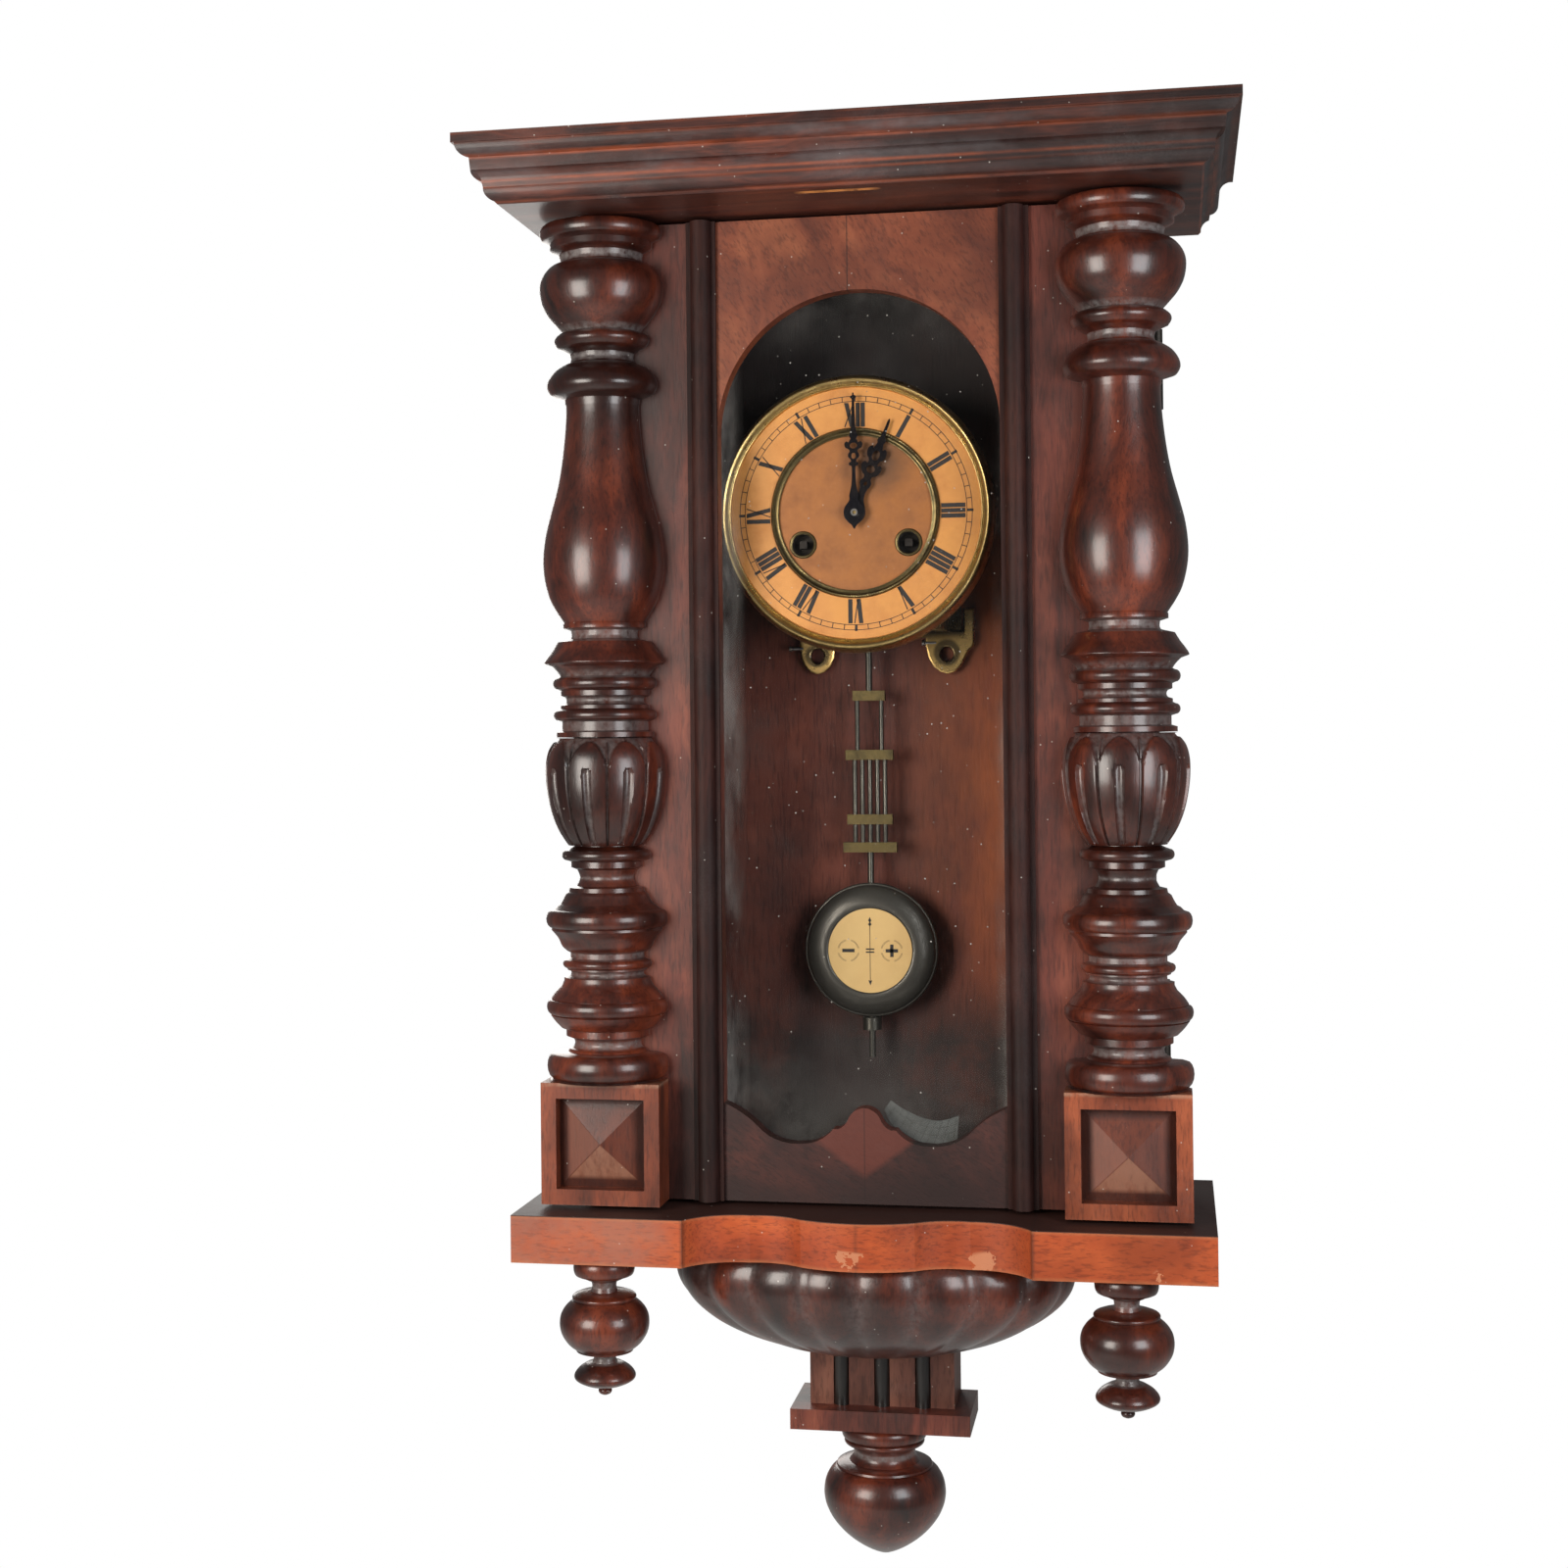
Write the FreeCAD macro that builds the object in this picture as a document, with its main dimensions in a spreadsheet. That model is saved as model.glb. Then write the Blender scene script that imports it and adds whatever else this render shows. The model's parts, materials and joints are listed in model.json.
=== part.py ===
# Regulator wall clock with a glazed door, half columns, a two-train movement and a pendulum.
# Millimetres. X runs to the right, Y back to the wall, Z up.
# Heights are written from the top of the shelf, and depths outward from the wall.
# The finished pieces are moved so that the origin is the hanging hole at the wall.
import FreeCAD, Part
import math
import os

import Sketcher

document = FreeCAD.newDocument("RegulatorWallClock")
sheet = document.addObject("Spreadsheet::Sheet", "Sizes")

case_sizes = {
    "hang_height": 572.0,  # hanging hole above the shelf
    "hang_hole_radius": 5.0,
    "hang_plate_thickness": 2.0,
    "hang_plate_width": 44.0,
    "hang_plate_height": 60.0,
    "hang_recess_depth": 7.0,
    "case_half_width": 175.0,
    "case_height": 604.5,
    "side_thickness": 14.0,
    "backboard_thickness": 10.0,
    "top_board_thickness": 10.0,
    "overrun": 5.0,  # every cut passes its faces by this
    "flat_gap": 0.3,  # between flat faces that move past each other
    "moulding_half_width": 206.0,  # lower edge of the cornice
    "moulding_front": 179.5,  # from the wall to the lower edge
    "moulding_height": 38.5,
    "moulding_reach": 22.0,  # how far the top stands out past the lower edge
    "moulding_back": 20.0,
    "shelf_half_width": 208.0,
    "shelf_front": 164.0,
    "shelf_thickness": 28.4,
    "shelf_wave_half_width": 103.0,
    "bowl_half_width": 124.0,
    "bowl_half_depth": 73.0,
    "bowl_centre_depth": 81.0,
    "bowl_height": 68.0,
    "bowl_lobe_depth": 2.6,
    "block_half_width": 46.0,
    "block_depth": 44.5,
    "block_bottom": 139.9,  # below the shelf top
    "reed_radius": 4.9,
    "reed_pitch": 26.0,
    "drop_half_width": 57.0,
    "drop_depth": 58.5,
    "drop_thickness": 12.9,
    "bottom_finial_axis": 34.5,
    "bottom_finial_radius": 38.8,
    "bottom_finial_height": 82.6,
    "side_finial_place": 156.0,
    "side_finial_axis": 142.0,
    "side_finial_radius": 27.2,
    "side_finial_height": 83.0,
}

door_sizes = {
    "door_face": 115.5,  # wall to the front of the door boards
    "door_thickness": 20.0,
    "door_gap": 0.5,
    "door_foot_gap": 2.5,
    "door_head_gap": 2.5,
    "opening_half_width": 86.4,
    "rail_thickness": 12.0,
    "rail_top_spring": 470.4,  # springing of the round arch
    "rail_bottom_side": 62.0,
    "rail_bottom_low": 38.2,
    "rail_bottom_low_place": 38.5,
    "rail_bottom_step": 47.4,
    "rail_bottom_step_place": 16.2,
    "rail_bottom_hump": 60.5,
    "bead_width": 18.3,
    "bead_base": 2.4,
    "bead_radius": 6.4,
    "glass_thickness": 2.0,
    "glass_lap": 6.0,
    "glass_margin": 20.0,
    "column_place": 158.5,
    "plinth_inner": 121.2,
    "plinth_outer": 194.9,
    "plinth_front": 142.0,
    "plinth_height": 76.3,
    "plinth_border": 9.5,
    "plinth_recess_depth": 9.0,
    "hinge_pin_radius": 1.5,
    "hinge_pin_clearance": 0.05,
    "hinge_knuckle_radius": 3.0,
    "hinge_leaf_thickness": 1.5,
    "hinge_leaf_width": 16.0,
    "hinge_height": 48.0,
    "hinge_low": 90.0,
    "hinge_high": 480.0,
    "hook_pivot_depth": 66.0,
    "hook_height": 300.0,
    "hook_reach": 38.5,
    "hook_width": 6.0,
    "hook_thickness": 1.5,
    "hook_stand_off": 1.0,
    "hook_pin_radius": 1.5,
    "hook_notch_clearance": 0.3,
}

column_sizes = {
    "column_radius": 38.6,
}

movement_sizes = {
    "movement_place": -6.0,  # the movement sits a little left on its bracket
    "dial_height": 424.0,
    "plate_half_width": 56.0,
    "plate_half_height": 62.0,
    "plate_thickness": 2.0,
    "plate_depth": 73.5,  # wall to the front of the front plate
    "plate_space": 34.0,
    "pillar_radius": 3.0,
    "pillar_inset": 6.0,
    "arbor_radius": 1.2,
    "barrel_arbor_radius": 3.4,
    "winding_square": 4.6,
    "pivot_clearance": 0.05,
    "winding_half_spacing": 33.0,
    "winding_drop": 19.0,
    "winding_hole_radius": 7.2,
    "barrel_radius": 30.0,
    "barrel_length": 15.0,
    "wheel_thickness": 1.6,
    "ratchet_radius": 8.5,
    "anchor_height": 56.0,  # anchor arbor above the centre arbor
    "escape_height": 32.0,
    "third_module": 0.85,
    "escape_module": 0.76,
    "escape_radius": 17.0,
    "strike_module": 0.62,
    "fly_module": 0.6,
    "motion_module": 0.78,
    "hammer_side": 52.0,
    "hammer_above": 12.0,
    "hammer_head_radius": 5.0,
    "hammer_head_length": 9.0,
    "hammer_stand_off": 2.0,
    "gong_radius": 40.0,
    "gong_wire": 1.2,
    "gong_drop": 20.0,
    "gong_depth": 17.0,
    "gong_block_radius": 8.0,
    "dial_space": 8.0,
    "dial_plate_radius": 80.0,
    "dial_plate_thickness": 1.5,
    "chapter_radius": 78.0,
    "chapter_inner_radius": 50.0,
    "chapter_thickness": 1.2,
    "centre_disc_radius": 48.0,
    "bezel_radius": 85.0,
    "bezel_height": 5.5,
    "inner_bezel_radius": 53.0,
    "inner_bezel_height": 2.4,
    "hand_hole_radius": 6.0,
    "cannon_radius": 2.2,
    "hour_pipe_radius": 3.4,
    "hand_thickness": 0.7,
    "hour_hand_length": 61.5,
    "minute_hand_length": 74.0,
    "hour_hand_height": 4.6,  # in front of the dial
    "minute_hand_height": 6.4,
    "bracket_half_spacing": 41.0,
    "bracket_arm_width": 8.0,
    "bracket_arm_height": 9.0,
    "bracket_thickness": 3.0,
    "bracket_half_width": 52.0,
    "bracket_plate_height": 30.0,
    "lug_half_width": 8.5,
    "lug_height": 24.0,
    "strike_teeth_layer": 1.0,  # layers: behind the back of the front plate
    "going_teeth_layer": 4.5,
    "fly_layer": 5.0,
    "escape_layer": 20.0,
    "centre_layer": 24.0,
    "warning_layer": 26.2,
    "third_layer": 29.0,
    "pinion_overhang": 0.7,  # a pinion stands past the wheel it meets by this on each side
    "lift_pin_radius": 0.6,
    "lift_pin_length": 2.2,
    "lift_pin_circle": 10.5,
    "lift_ring_half_width": 1.2,
    "fly_radius": 7.5,
    "fly_length": 11.0,
    "anchor_thickness": 2.0,
    "pallet_width": 0.8,
    "pallet_clearance": 0.35,
    "pallet_lead": 0.2,  # the anchor stands this far before the escape wheel
    "seat_gap": 0.3,
}

pendulum_sizes = {
    "pendulum_depth": 27.0,
    "bob_height": 148.0,
    "bob_radius": 43.0,
    "bob_half_thickness": 8.0,
    "bob_disc_radius": 27.0,
    "bob_disc_thickness": 0.8,
    "bar_one": 311.5,
    "bar_two": 273.4,
    "bar_three": 231.9,
    "bar_four": 213.9,
    "bar_half_height": 3.2,
    "bar_half_depth": 3.0,
    "bar_one_half_width": 10.4,
    "bar_two_half_width": 15.3,
    "bar_three_half_width": 14.6,
    "bar_four_half_width": 17.3,
    "rod_pitch": 4.9,
    "rod_radius": 1.5,
    "centre_rod_radius": 2.1,
    "spring_width": 8.0,
    "spring_thickness": 0.3,
    "spring_length": 16.0,
    "nut_radius": 6.0,
    "nut_height": 8.0,
    "rod_end": 79.0,
    "crutch_thickness": 1.4,
    "crutch_length": 48.0,
}

groups = (case_sizes, door_sizes, column_sizes, movement_sizes, pendulum_sizes)
row = 0
for group in groups:
    for alias, value in group.items():
        row += 1
        sheet.set(f"A{row}", alias)
        sheet.set(f"B{row}", str(value))
        sheet.setAlias(f"B{row}", alias)
document.recompute()


# A size with its value and the expression that gives it, so that sums of sizes stay bound to the sheet.
class Length:
    def __init__(self, text, value):
        self.text = text
        self.value = float(value)

    def __add__(self, other):
        other = as_length(other)
        return Length(f"({self.text} + {other.text})", self.value + other.value)

    def __sub__(self, other):
        other = as_length(other)
        return Length(f"({self.text} - {other.text})", self.value - other.value)

    def __mul__(self, share):
        share = as_length(share)
        return Length(f"({self.text} * {share.text})", self.value * share.value)

    def __truediv__(self, share):
        share = as_length(share)
        return Length(f"({self.text} / {share.text})", self.value / share.value)

    def __neg__(self):
        return Length(f"(0 - {self.text})", -self.value)

    __rmul__ = __mul__


class SizeTable:
    def __getattr__(self, alias):
        return Length(f"Sizes.{alias}", sheet.get(alias))


size = SizeTable()
zero = Length("0", 0)


def as_length(number):
    if isinstance(number, Length):
        return number
    return Length(repr(float(number)), number)


def span(one, other):
    text = f"sqrt({one.text} * {one.text} + {other.text} * {other.text})"
    return Length(text, math.hypot(one.value, other.value))


pieces = {}
starts = {}


def bind(thing, **lengths):
    for name, length in lengths.items():
        length = as_length(length)
        setattr(thing, name, length.value)
        thing.setExpression(name, length.text)


def put(thing, x=zero, y=zero, z=zero):
    starts[thing.Name] = (as_length(x), as_length(y), as_length(z))
    move(thing, *starts[thing.Name])


def move(thing, x, y, z):
    turn = thing.Placement.Rotation
    thing.Placement = FreeCAD.Placement(FreeCAD.Vector(x.value, y.value, z.value), turn)
    thing.setExpression("Placement.Base.x", x.text)
    thing.setExpression("Placement.Base.y", y.text)
    thing.setExpression("Placement.Base.z", z.text)


# Names a finished sub-part and moves it so that the origin is the hanging hole.
def finish(thing, label):
    thing.Label = label
    x, y, z = starts.get(thing.Name, (zero, zero, zero))
    move(thing, x, y, z - size.hang_height)
    pieces[label] = thing
    return thing


# A block from x0 to x1, from the depth `back` out to the depth `front`, and from z0 to z1.
def block(x0, x1, back, front, z0, z1):
    x0, x1, back, front, z0, z1 = [as_length(value) for value in (x0, x1, back, front, z0, z1)]
    thing = document.addObject("Part::Box", "Block")
    bind(thing, Length=x1 - x0, Width=front - back, Height=z1 - z0)
    put(thing, x0, -front, z0)
    return thing


turns = {
    "up": FreeCAD.Rotation(),
    "out": FreeCAD.Rotation(FreeCAD.Vector(1, 0, 0), 90),
    "side": FreeCAD.Rotation(FreeCAD.Vector(0, 1, 0), 90),
}


# A round bar that starts at x, depth, z and runs up, out from the wall or to the right.
def bar(radius, length, x, depth, z, way="out"):
    thing = document.addObject("Part::Cylinder", "Bar")
    bind(thing, Radius=radius, Height=length)
    thing.Placement.Rotation = turns[way]
    put(thing, x, -as_length(depth), z)
    return thing


def fuse(*things):
    thing = document.addObject("Part::MultiFuse", "Fuse")
    thing.Shapes = list(things)
    return thing


def cut(base, *tools):
    thing = document.addObject("Part::Cut", "Cut")
    thing.Base = base
    thing.Tool = tools[0] if len(tools) == 1 else fuse(*tools)
    return thing


def group_of(*things):
    thing = document.addObject("Part::Compound", "Group")
    thing.Links = list(things)
    return thing


def new_body(name):
    return document.addObject("PartDesign::Body", name)


# Draws one closed outline. Each point is (x, y) or (x, y, rise share): the stretch that follows a
# point with a rise share is an arc whose rise is that share of its chord, to the right of its run.
def outline(sketch, points):
    corners = [(as_length(point[0]), as_length(point[1])) for point in points]
    rises = [point[2] if len(point) > 2 else 0 for point in points]
    rules = []
    bound = []
    first = sketch.GeometryCount
    for number, (x, y) in enumerate(corners):
        next_x, next_y = corners[(number + 1) % len(corners)]
        start = FreeCAD.Vector(x.value, y.value, 0)
        end = FreeCAD.Vector(next_x.value, next_y.value, 0)
        run = end - start
        if rises[number]:
            right = FreeCAD.Vector(run.y, -run.x, 0)
            middle = (start + end) * 0.5 + right * rises[number]
            sketch.addGeometry(Part.ArcOfCircle(start, middle, end), False)
        else:
            sketch.addGeometry(Part.LineSegment(start, end), False)
    ends = []
    for number, (x, y) in enumerate(corners):
        start = FreeCAD.Vector(x.value, y.value, 0)
        near = sketch.getPoint(first + number, 1).distanceToPoint(start)
        far = sketch.getPoint(first + number, 2).distanceToPoint(start)
        ends.append((1, 2) if near <= far else (2, 1))
    for number, (x, y) in enumerate(corners):
        here = first + number
        after = (number + 1) % len(corners)
        rules.append(Sketcher.Constraint("Coincident", here, ends[number][1], first + after, ends[after][0]))
        rules.append(Sketcher.Constraint("DistanceX", -1, 1, here, ends[number][0], x.value))
        bound.append((len(rules) - 1, x))
        rules.append(Sketcher.Constraint("DistanceY", -1, 1, here, ends[number][0], y.value))
        bound.append((len(rules) - 1, y))
        if rises[number]:
            next_x, next_y = corners[after]
            rise = abs(rises[number])
            radius = span(next_x - x, next_y - y) * ((0.25 + rise * rise) / (2 * rise))
            rules.append(Sketcher.Constraint("Radius", here, radius.value))
            bound.append((len(rules) - 1, radius))
    offset = sketch.ConstraintCount
    sketch.addConstraint(rules)
    for place, length in bound:
        sketch.setExpression(f"Constraints[{offset + place}]", length.text)


# A sketch on one of the body's own planes: XZ faces the viewer, XY lies flat, YZ looks from the side.
def sketch_on(body, role, *outlines, offset=None):
    sketch = body.newObject("Sketcher::SketchObject", "Sketch")
    plane = [feature for feature in body.Origin.OriginFeatures if feature.Role == role][0]
    sketch.AttachmentSupport = [(plane, "")]
    sketch.MapMode = "FlatFace"
    if offset is not None:
        sketch.AttachmentOffset = FreeCAD.Placement(FreeCAD.Vector(0, 0, offset.value), FreeCAD.Rotation())
        sketch.setExpression("AttachmentOffset.Base.z", offset.text)
    for points in outlines:
        outline(sketch, points)
    return sketch


def pad(body, sketch, length, reversed_way=False, both_ways=False):
    feature = body.newObject("PartDesign::Pad", "Pad")
    feature.Profile = sketch
    bind(feature, Length=length)
    feature.Reversed = reversed_way
    feature.Midplane = both_ways
    return feature


def pocket(body, sketch, length, reversed_way=False):
    feature = body.newObject("PartDesign::Pocket", "Pocket")
    feature.Profile = sketch
    bind(feature, Length=length)
    feature.Reversed = reversed_way
    return feature


def revolve(body, sketch, angle=360.0, reversed_way=False):
    feature = body.newObject("PartDesign::Revolution", "Revolution")
    feature.Profile = sketch
    feature.ReferenceAxis = (sketch, ["V_Axis"])
    feature.Angle = angle
    feature.Reversed = reversed_way
    return feature


def mirrored(points):
    left = [(-as_length(point[0]),) + tuple(point[1:]) for point in points]
    return left


# A turned piece that stands at a place, from an outline of (radius, height) points.
def turned(label, points, x, depth, z, angle=360.0):
    body = new_body("Turned")
    sketch = sketch_on(body, "XZ_Plane", points)
    revolve(body, sketch, angle, reversed_way=True)
    put(body, x, -as_length(depth), z)
    return finish(body, label) if label else body


def make_case_boards():
    inner = size.case_half_width - size.side_thickness
    door_back = size.door_face - size.door_thickness - size.door_gap
    backboard = block(-inner, inner, zero, size.backboard_thickness, zero, size.case_height)
    recess_half = size.hang_plate_width * 0.3
    recess = block(-recess_half, recess_half, -size.overrun, size.hang_recess_depth,
                   size.hang_height - size.hang_plate_height * 0.35, size.hang_height + size.hang_plate_height * 0.35)
    plate_seat = block(-size.hang_plate_width / 2, size.hang_plate_width / 2, -size.overrun,
                       size.hang_plate_thickness, size.hang_height - size.hang_plate_height / 2,
                       size.hang_height + size.hang_plate_height / 2)
    finish(cut(backboard, recess, plate_seat), "backboard")
    plate = block(-size.hang_plate_width / 2, size.hang_plate_width / 2, zero, size.hang_plate_thickness,
                  size.hang_height - size.hang_plate_height / 2, size.hang_height + size.hang_plate_height / 2)
    hole = bar(size.hang_hole_radius, size.hang_plate_thickness + size.overrun * 2, zero, -size.overrun,
               size.hang_height)
    finish(cut(plate, hole), "hanger_plate")
    finish(block(-size.case_half_width, -inner, zero, door_back, zero, size.case_height), "side_panel_left")
    finish(block(inner, size.case_half_width, zero, door_back, zero, size.case_height), "side_panel_right")
    board_half = size.moulding_half_width - size.moulding_back
    finish(block(-board_half, board_half, zero, size.moulding_front - size.moulding_back,
                 size.case_height, size.case_height + size.top_board_thickness), "top_board")


# Shares of the reach (out) and of the height (up) of the cornice, from its lower edge.
moulding_shares = [(0, 0, 0), (0.07, 0.04, 0.18), (0.31, 0.23, 0), (0.34, 0.32, -0.18), (0.58, 0.47, 0),
                   (0.61, 0.66, 0.2), (0.92, 0.85, 0), (1, 0.85, 0), (1, 1, 0)]


def make_cornice():
    points = [(size.moulding_reach * out, size.moulding_height * up, rise) for out, up, rise in moulding_shares]
    points += [(-size.moulding_back, size.moulding_height), (-size.moulding_back, zero)]
    top_half = size.moulding_half_width + size.moulding_reach
    top_front = size.moulding_front + size.moulding_reach
    back_half = size.moulding_half_width - size.moulding_back
    back_front = size.moulding_front - size.moulding_back
    far = size.overrun

    # The mitre runs at 45 degrees from the inner corner through the outer one.
    front = new_body("Cornice")
    profile = [(-as_length(x), y, *rest) for x, y, *rest in points]
    profile = [(point[0], point[1], -point[2]) if len(point) > 2 else point for point in profile]
    sketch = sketch_on(front, "YZ_Plane", profile)
    pad(front, sketch, top_half * 2 + far * 2, both_ways=True)
    corner = size.moulding_reach + size.moulding_back + far
    side = back_half
    outer = back_half + corner + far
    low = size.moulding_back
    mitre = [(side, low), (side + corner, low - corner), (outer + far, low - corner), (outer + far, low + far),
             (side, low + far)]
    mitres = sketch_on(front, "XY_Plane", mitre, mirrored(mitre), offset=-size.overrun)
    pocket(front, mitres, size.moulding_height + size.overrun * 2, reversed_way=True)
    put(front, zero, -size.moulding_front, size.case_height)
    finish(front, "cornice_front")

    returns = []
    for way in (-1, 1):
        piece = new_body("CorniceReturn")
        profile = [(as_length(point[0]) * way, point[1]) + ((point[2] * -way,) if len(point) > 2 else ())
                   for point in points]
        sketch = sketch_on(piece, "XZ_Plane", profile)
        pad(piece, sketch, top_front + far)
        inner = -size.moulding_back
        mitre = [(inner * way, -back_front), ((inner + corner) * way, -(back_front + corner)),
                 ((inner + corner) * way, -(back_front + corner * 2)), (inner * way, -(back_front + corner * 2))]
        trim = sketch_on(piece, "XY_Plane", mitre, offset=-size.overrun)
        pocket(piece, trim, size.moulding_height + size.overrun * 2, reversed_way=True)
        put(piece, size.moulding_half_width * way, zero, size.case_height)
        returns.append(piece)
    finish(group_of(*returns), "cornice_returns")


# The wavy middle of the shelf's front, from left to right: shares of its half width and of the shelf's
# depth, and how far each stretch bows outward, as a share of its length.
shelf_front_shares = [(-1.0, 0.997, -0.15), (-0.64, 0.875, -0.12), (-0.33, 0.924, 0.118), (0.33, 0.924, -0.12),
                      (0.64, 0.875, -0.15), (1.0, 0.997)]


def make_shelf():
    shelf = new_body("Shelf")
    points = [(size.shelf_half_width, zero), (-size.shelf_half_width, zero),
              (-size.shelf_half_width, -size.shelf_front), (-size.shelf_wave_half_width, -size.shelf_front)]
    for wide, out, *rise in shelf_front_shares:
        points.append((size.shelf_wave_half_width * wide, -size.shelf_front * out, *rise))
    points += [(size.shelf_wave_half_width, -size.shelf_front), (size.shelf_half_width, -size.shelf_front)]
    pad(shelf, sketch_on(shelf, "XY_Plane", points), size.shelf_thickness)
    put(shelf, zero, zero, -size.shelf_thickness)
    finish(shelf, "base_shelf")


# Shares of the bowl's half width, and of its height below the shelf.
bowl_shares = [(0.93, 0.0), (0.995, 0.2), (0.985, 0.36), (0.93, 0.52), (0.80, 0.7), (0.56, 0.87), (0.3, 0.97)]
bowl_lobes = 18
bowl_points_per_lobe = 4


def make_bowl():
    half_width = size.bowl_half_width.value
    half_depth = size.bowl_half_depth.value
    height = size.bowl_height.value
    steps = bowl_lobes * bowl_points_per_lobe
    rings = []
    for wide, low in bowl_shares:
        corners = []
        for number in range(steps):
            angle = 2 * math.pi * number / steps
            wave = abs(math.sin(angle * bowl_lobes / 2)) - 1
            swell = size.bowl_lobe_depth.value * wave * min(1, wide * 1.6)
            corners.append(FreeCAD.Vector((half_width * wide + swell) * math.cos(angle),
                                          (half_depth * wide + swell) * math.sin(angle), -height * low))
        rings.append(Part.makePolygon(corners + corners[:1]))
    dome = Part.makeLoft(rings, True, True)
    middle = FreeCAD.Vector(0, -size.bowl_centre_depth.value, -size.shelf_thickness.value)
    dome.translate(middle)
    behind = Part.makeBox(half_width * 4, half_depth * 2, height * 3)
    behind.translate(FreeCAD.Vector(-half_width * 2, 0, -height * 2))
    post = Part.makeBox(size.block_half_width.value * 2, size.block_depth.value, height * 3)
    post.translate(FreeCAD.Vector(-size.block_half_width.value, -size.block_depth.value, -height * 2))
    bowl = document.addObject("Part::Feature", "Bowl")
    bowl.Shape = dome.cut(behind).cut(post)
    finish(bowl, "gadrooned_bowl")


def make_drop():
    body = block(-size.block_half_width, size.block_half_width, zero, size.block_depth, -size.block_bottom,
                 -size.shelf_thickness)
    flutes = []
    reeds = []
    for place in (-1, 0, 1):
        x = size.reed_pitch * place
        flutes.append(block(x - size.reed_radius, x + size.reed_radius, size.block_depth - size.reed_radius / 2,
                            size.block_depth + size.overrun, -size.block_bottom - size.overrun,
                            -size.shelf_thickness + size.overrun))
        reed = bar(size.reed_radius, size.block_bottom - size.shelf_thickness, x,
                   size.block_depth - size.reed_radius / 2, -size.block_bottom, "up")
        back = block(x - size.reed_radius, x + size.reed_radius, size.block_depth - size.reed_radius * 2,
                     size.block_depth - size.reed_radius / 2, -size.block_bottom, -size.shelf_thickness)
        bowl_room = block(x - size.reed_radius, x + size.reed_radius, size.block_depth,
                          size.block_depth + size.reed_radius, -size.shelf_thickness - size.bowl_height,
                          -size.shelf_thickness)
        reeds.append(cut(reed, back, bowl_room))
    finish(cut(body, *flutes), "fluted_block")
    finish(group_of(*reeds), "block_reeds")
    finish(block(-size.drop_half_width, size.drop_half_width, zero, size.drop_depth,
                 -size.block_bottom - size.drop_thickness, -size.block_bottom), "drop_board")


# Shares of the finial's radius and of its height below the board, down one side.
bottom_finial_shares = [(0.70, 0.0), (0.70, 0.157), (0.51, 0.17), (0.54, 0.25), (0.79, 0.34), (0.93, 0.42),
                        (1.0, 0.52), (0.97, 0.63), (0.80, 0.775), (0.60, 0.875), (0.38, 0.945), (0.10, 1.0)]
side_finial_shares = [(0.68, 0.0), (0.68, 0.14), (0.28, 0.165), (0.28, 0.24), (0.70, 0.26), (0.70, 0.31),
                      (0.92, 0.37), (1.0, 0.47), (0.93, 0.565), (0.62, 0.67), (0.25, 0.695), (0.25, 0.745),
                      (0.64, 0.82), (0.66, 0.88), (0.16, 0.935), (0.13, 1.0)]


def finial_outline(shares, radius, height):
    points = [(zero, zero)]
    points += [(radius * wide, -height * low) for wide, low in shares]
    points.append((zero, -height))
    return points


def make_finials():
    below = -size.block_bottom - size.drop_thickness
    points = finial_outline(bottom_finial_shares, size.bottom_finial_radius, size.bottom_finial_height)
    ball = turned(None, points, zero, size.bottom_finial_axis, below)
    wide = size.bottom_finial_radius * 2
    behind = block(-wide, wide, -wide, zero, below - size.bottom_finial_height - size.overrun,
                   below + size.overrun)
    finish(cut(ball, behind), "bottom_finial")
    points = finial_outline(side_finial_shares, size.side_finial_radius, size.side_finial_height)
    sides = [turned(None, points, size.side_finial_place * way, size.side_finial_axis, -size.shelf_thickness)
             for way in (-1, 1)]
    finish(group_of(*sides), "side_finials")


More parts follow.
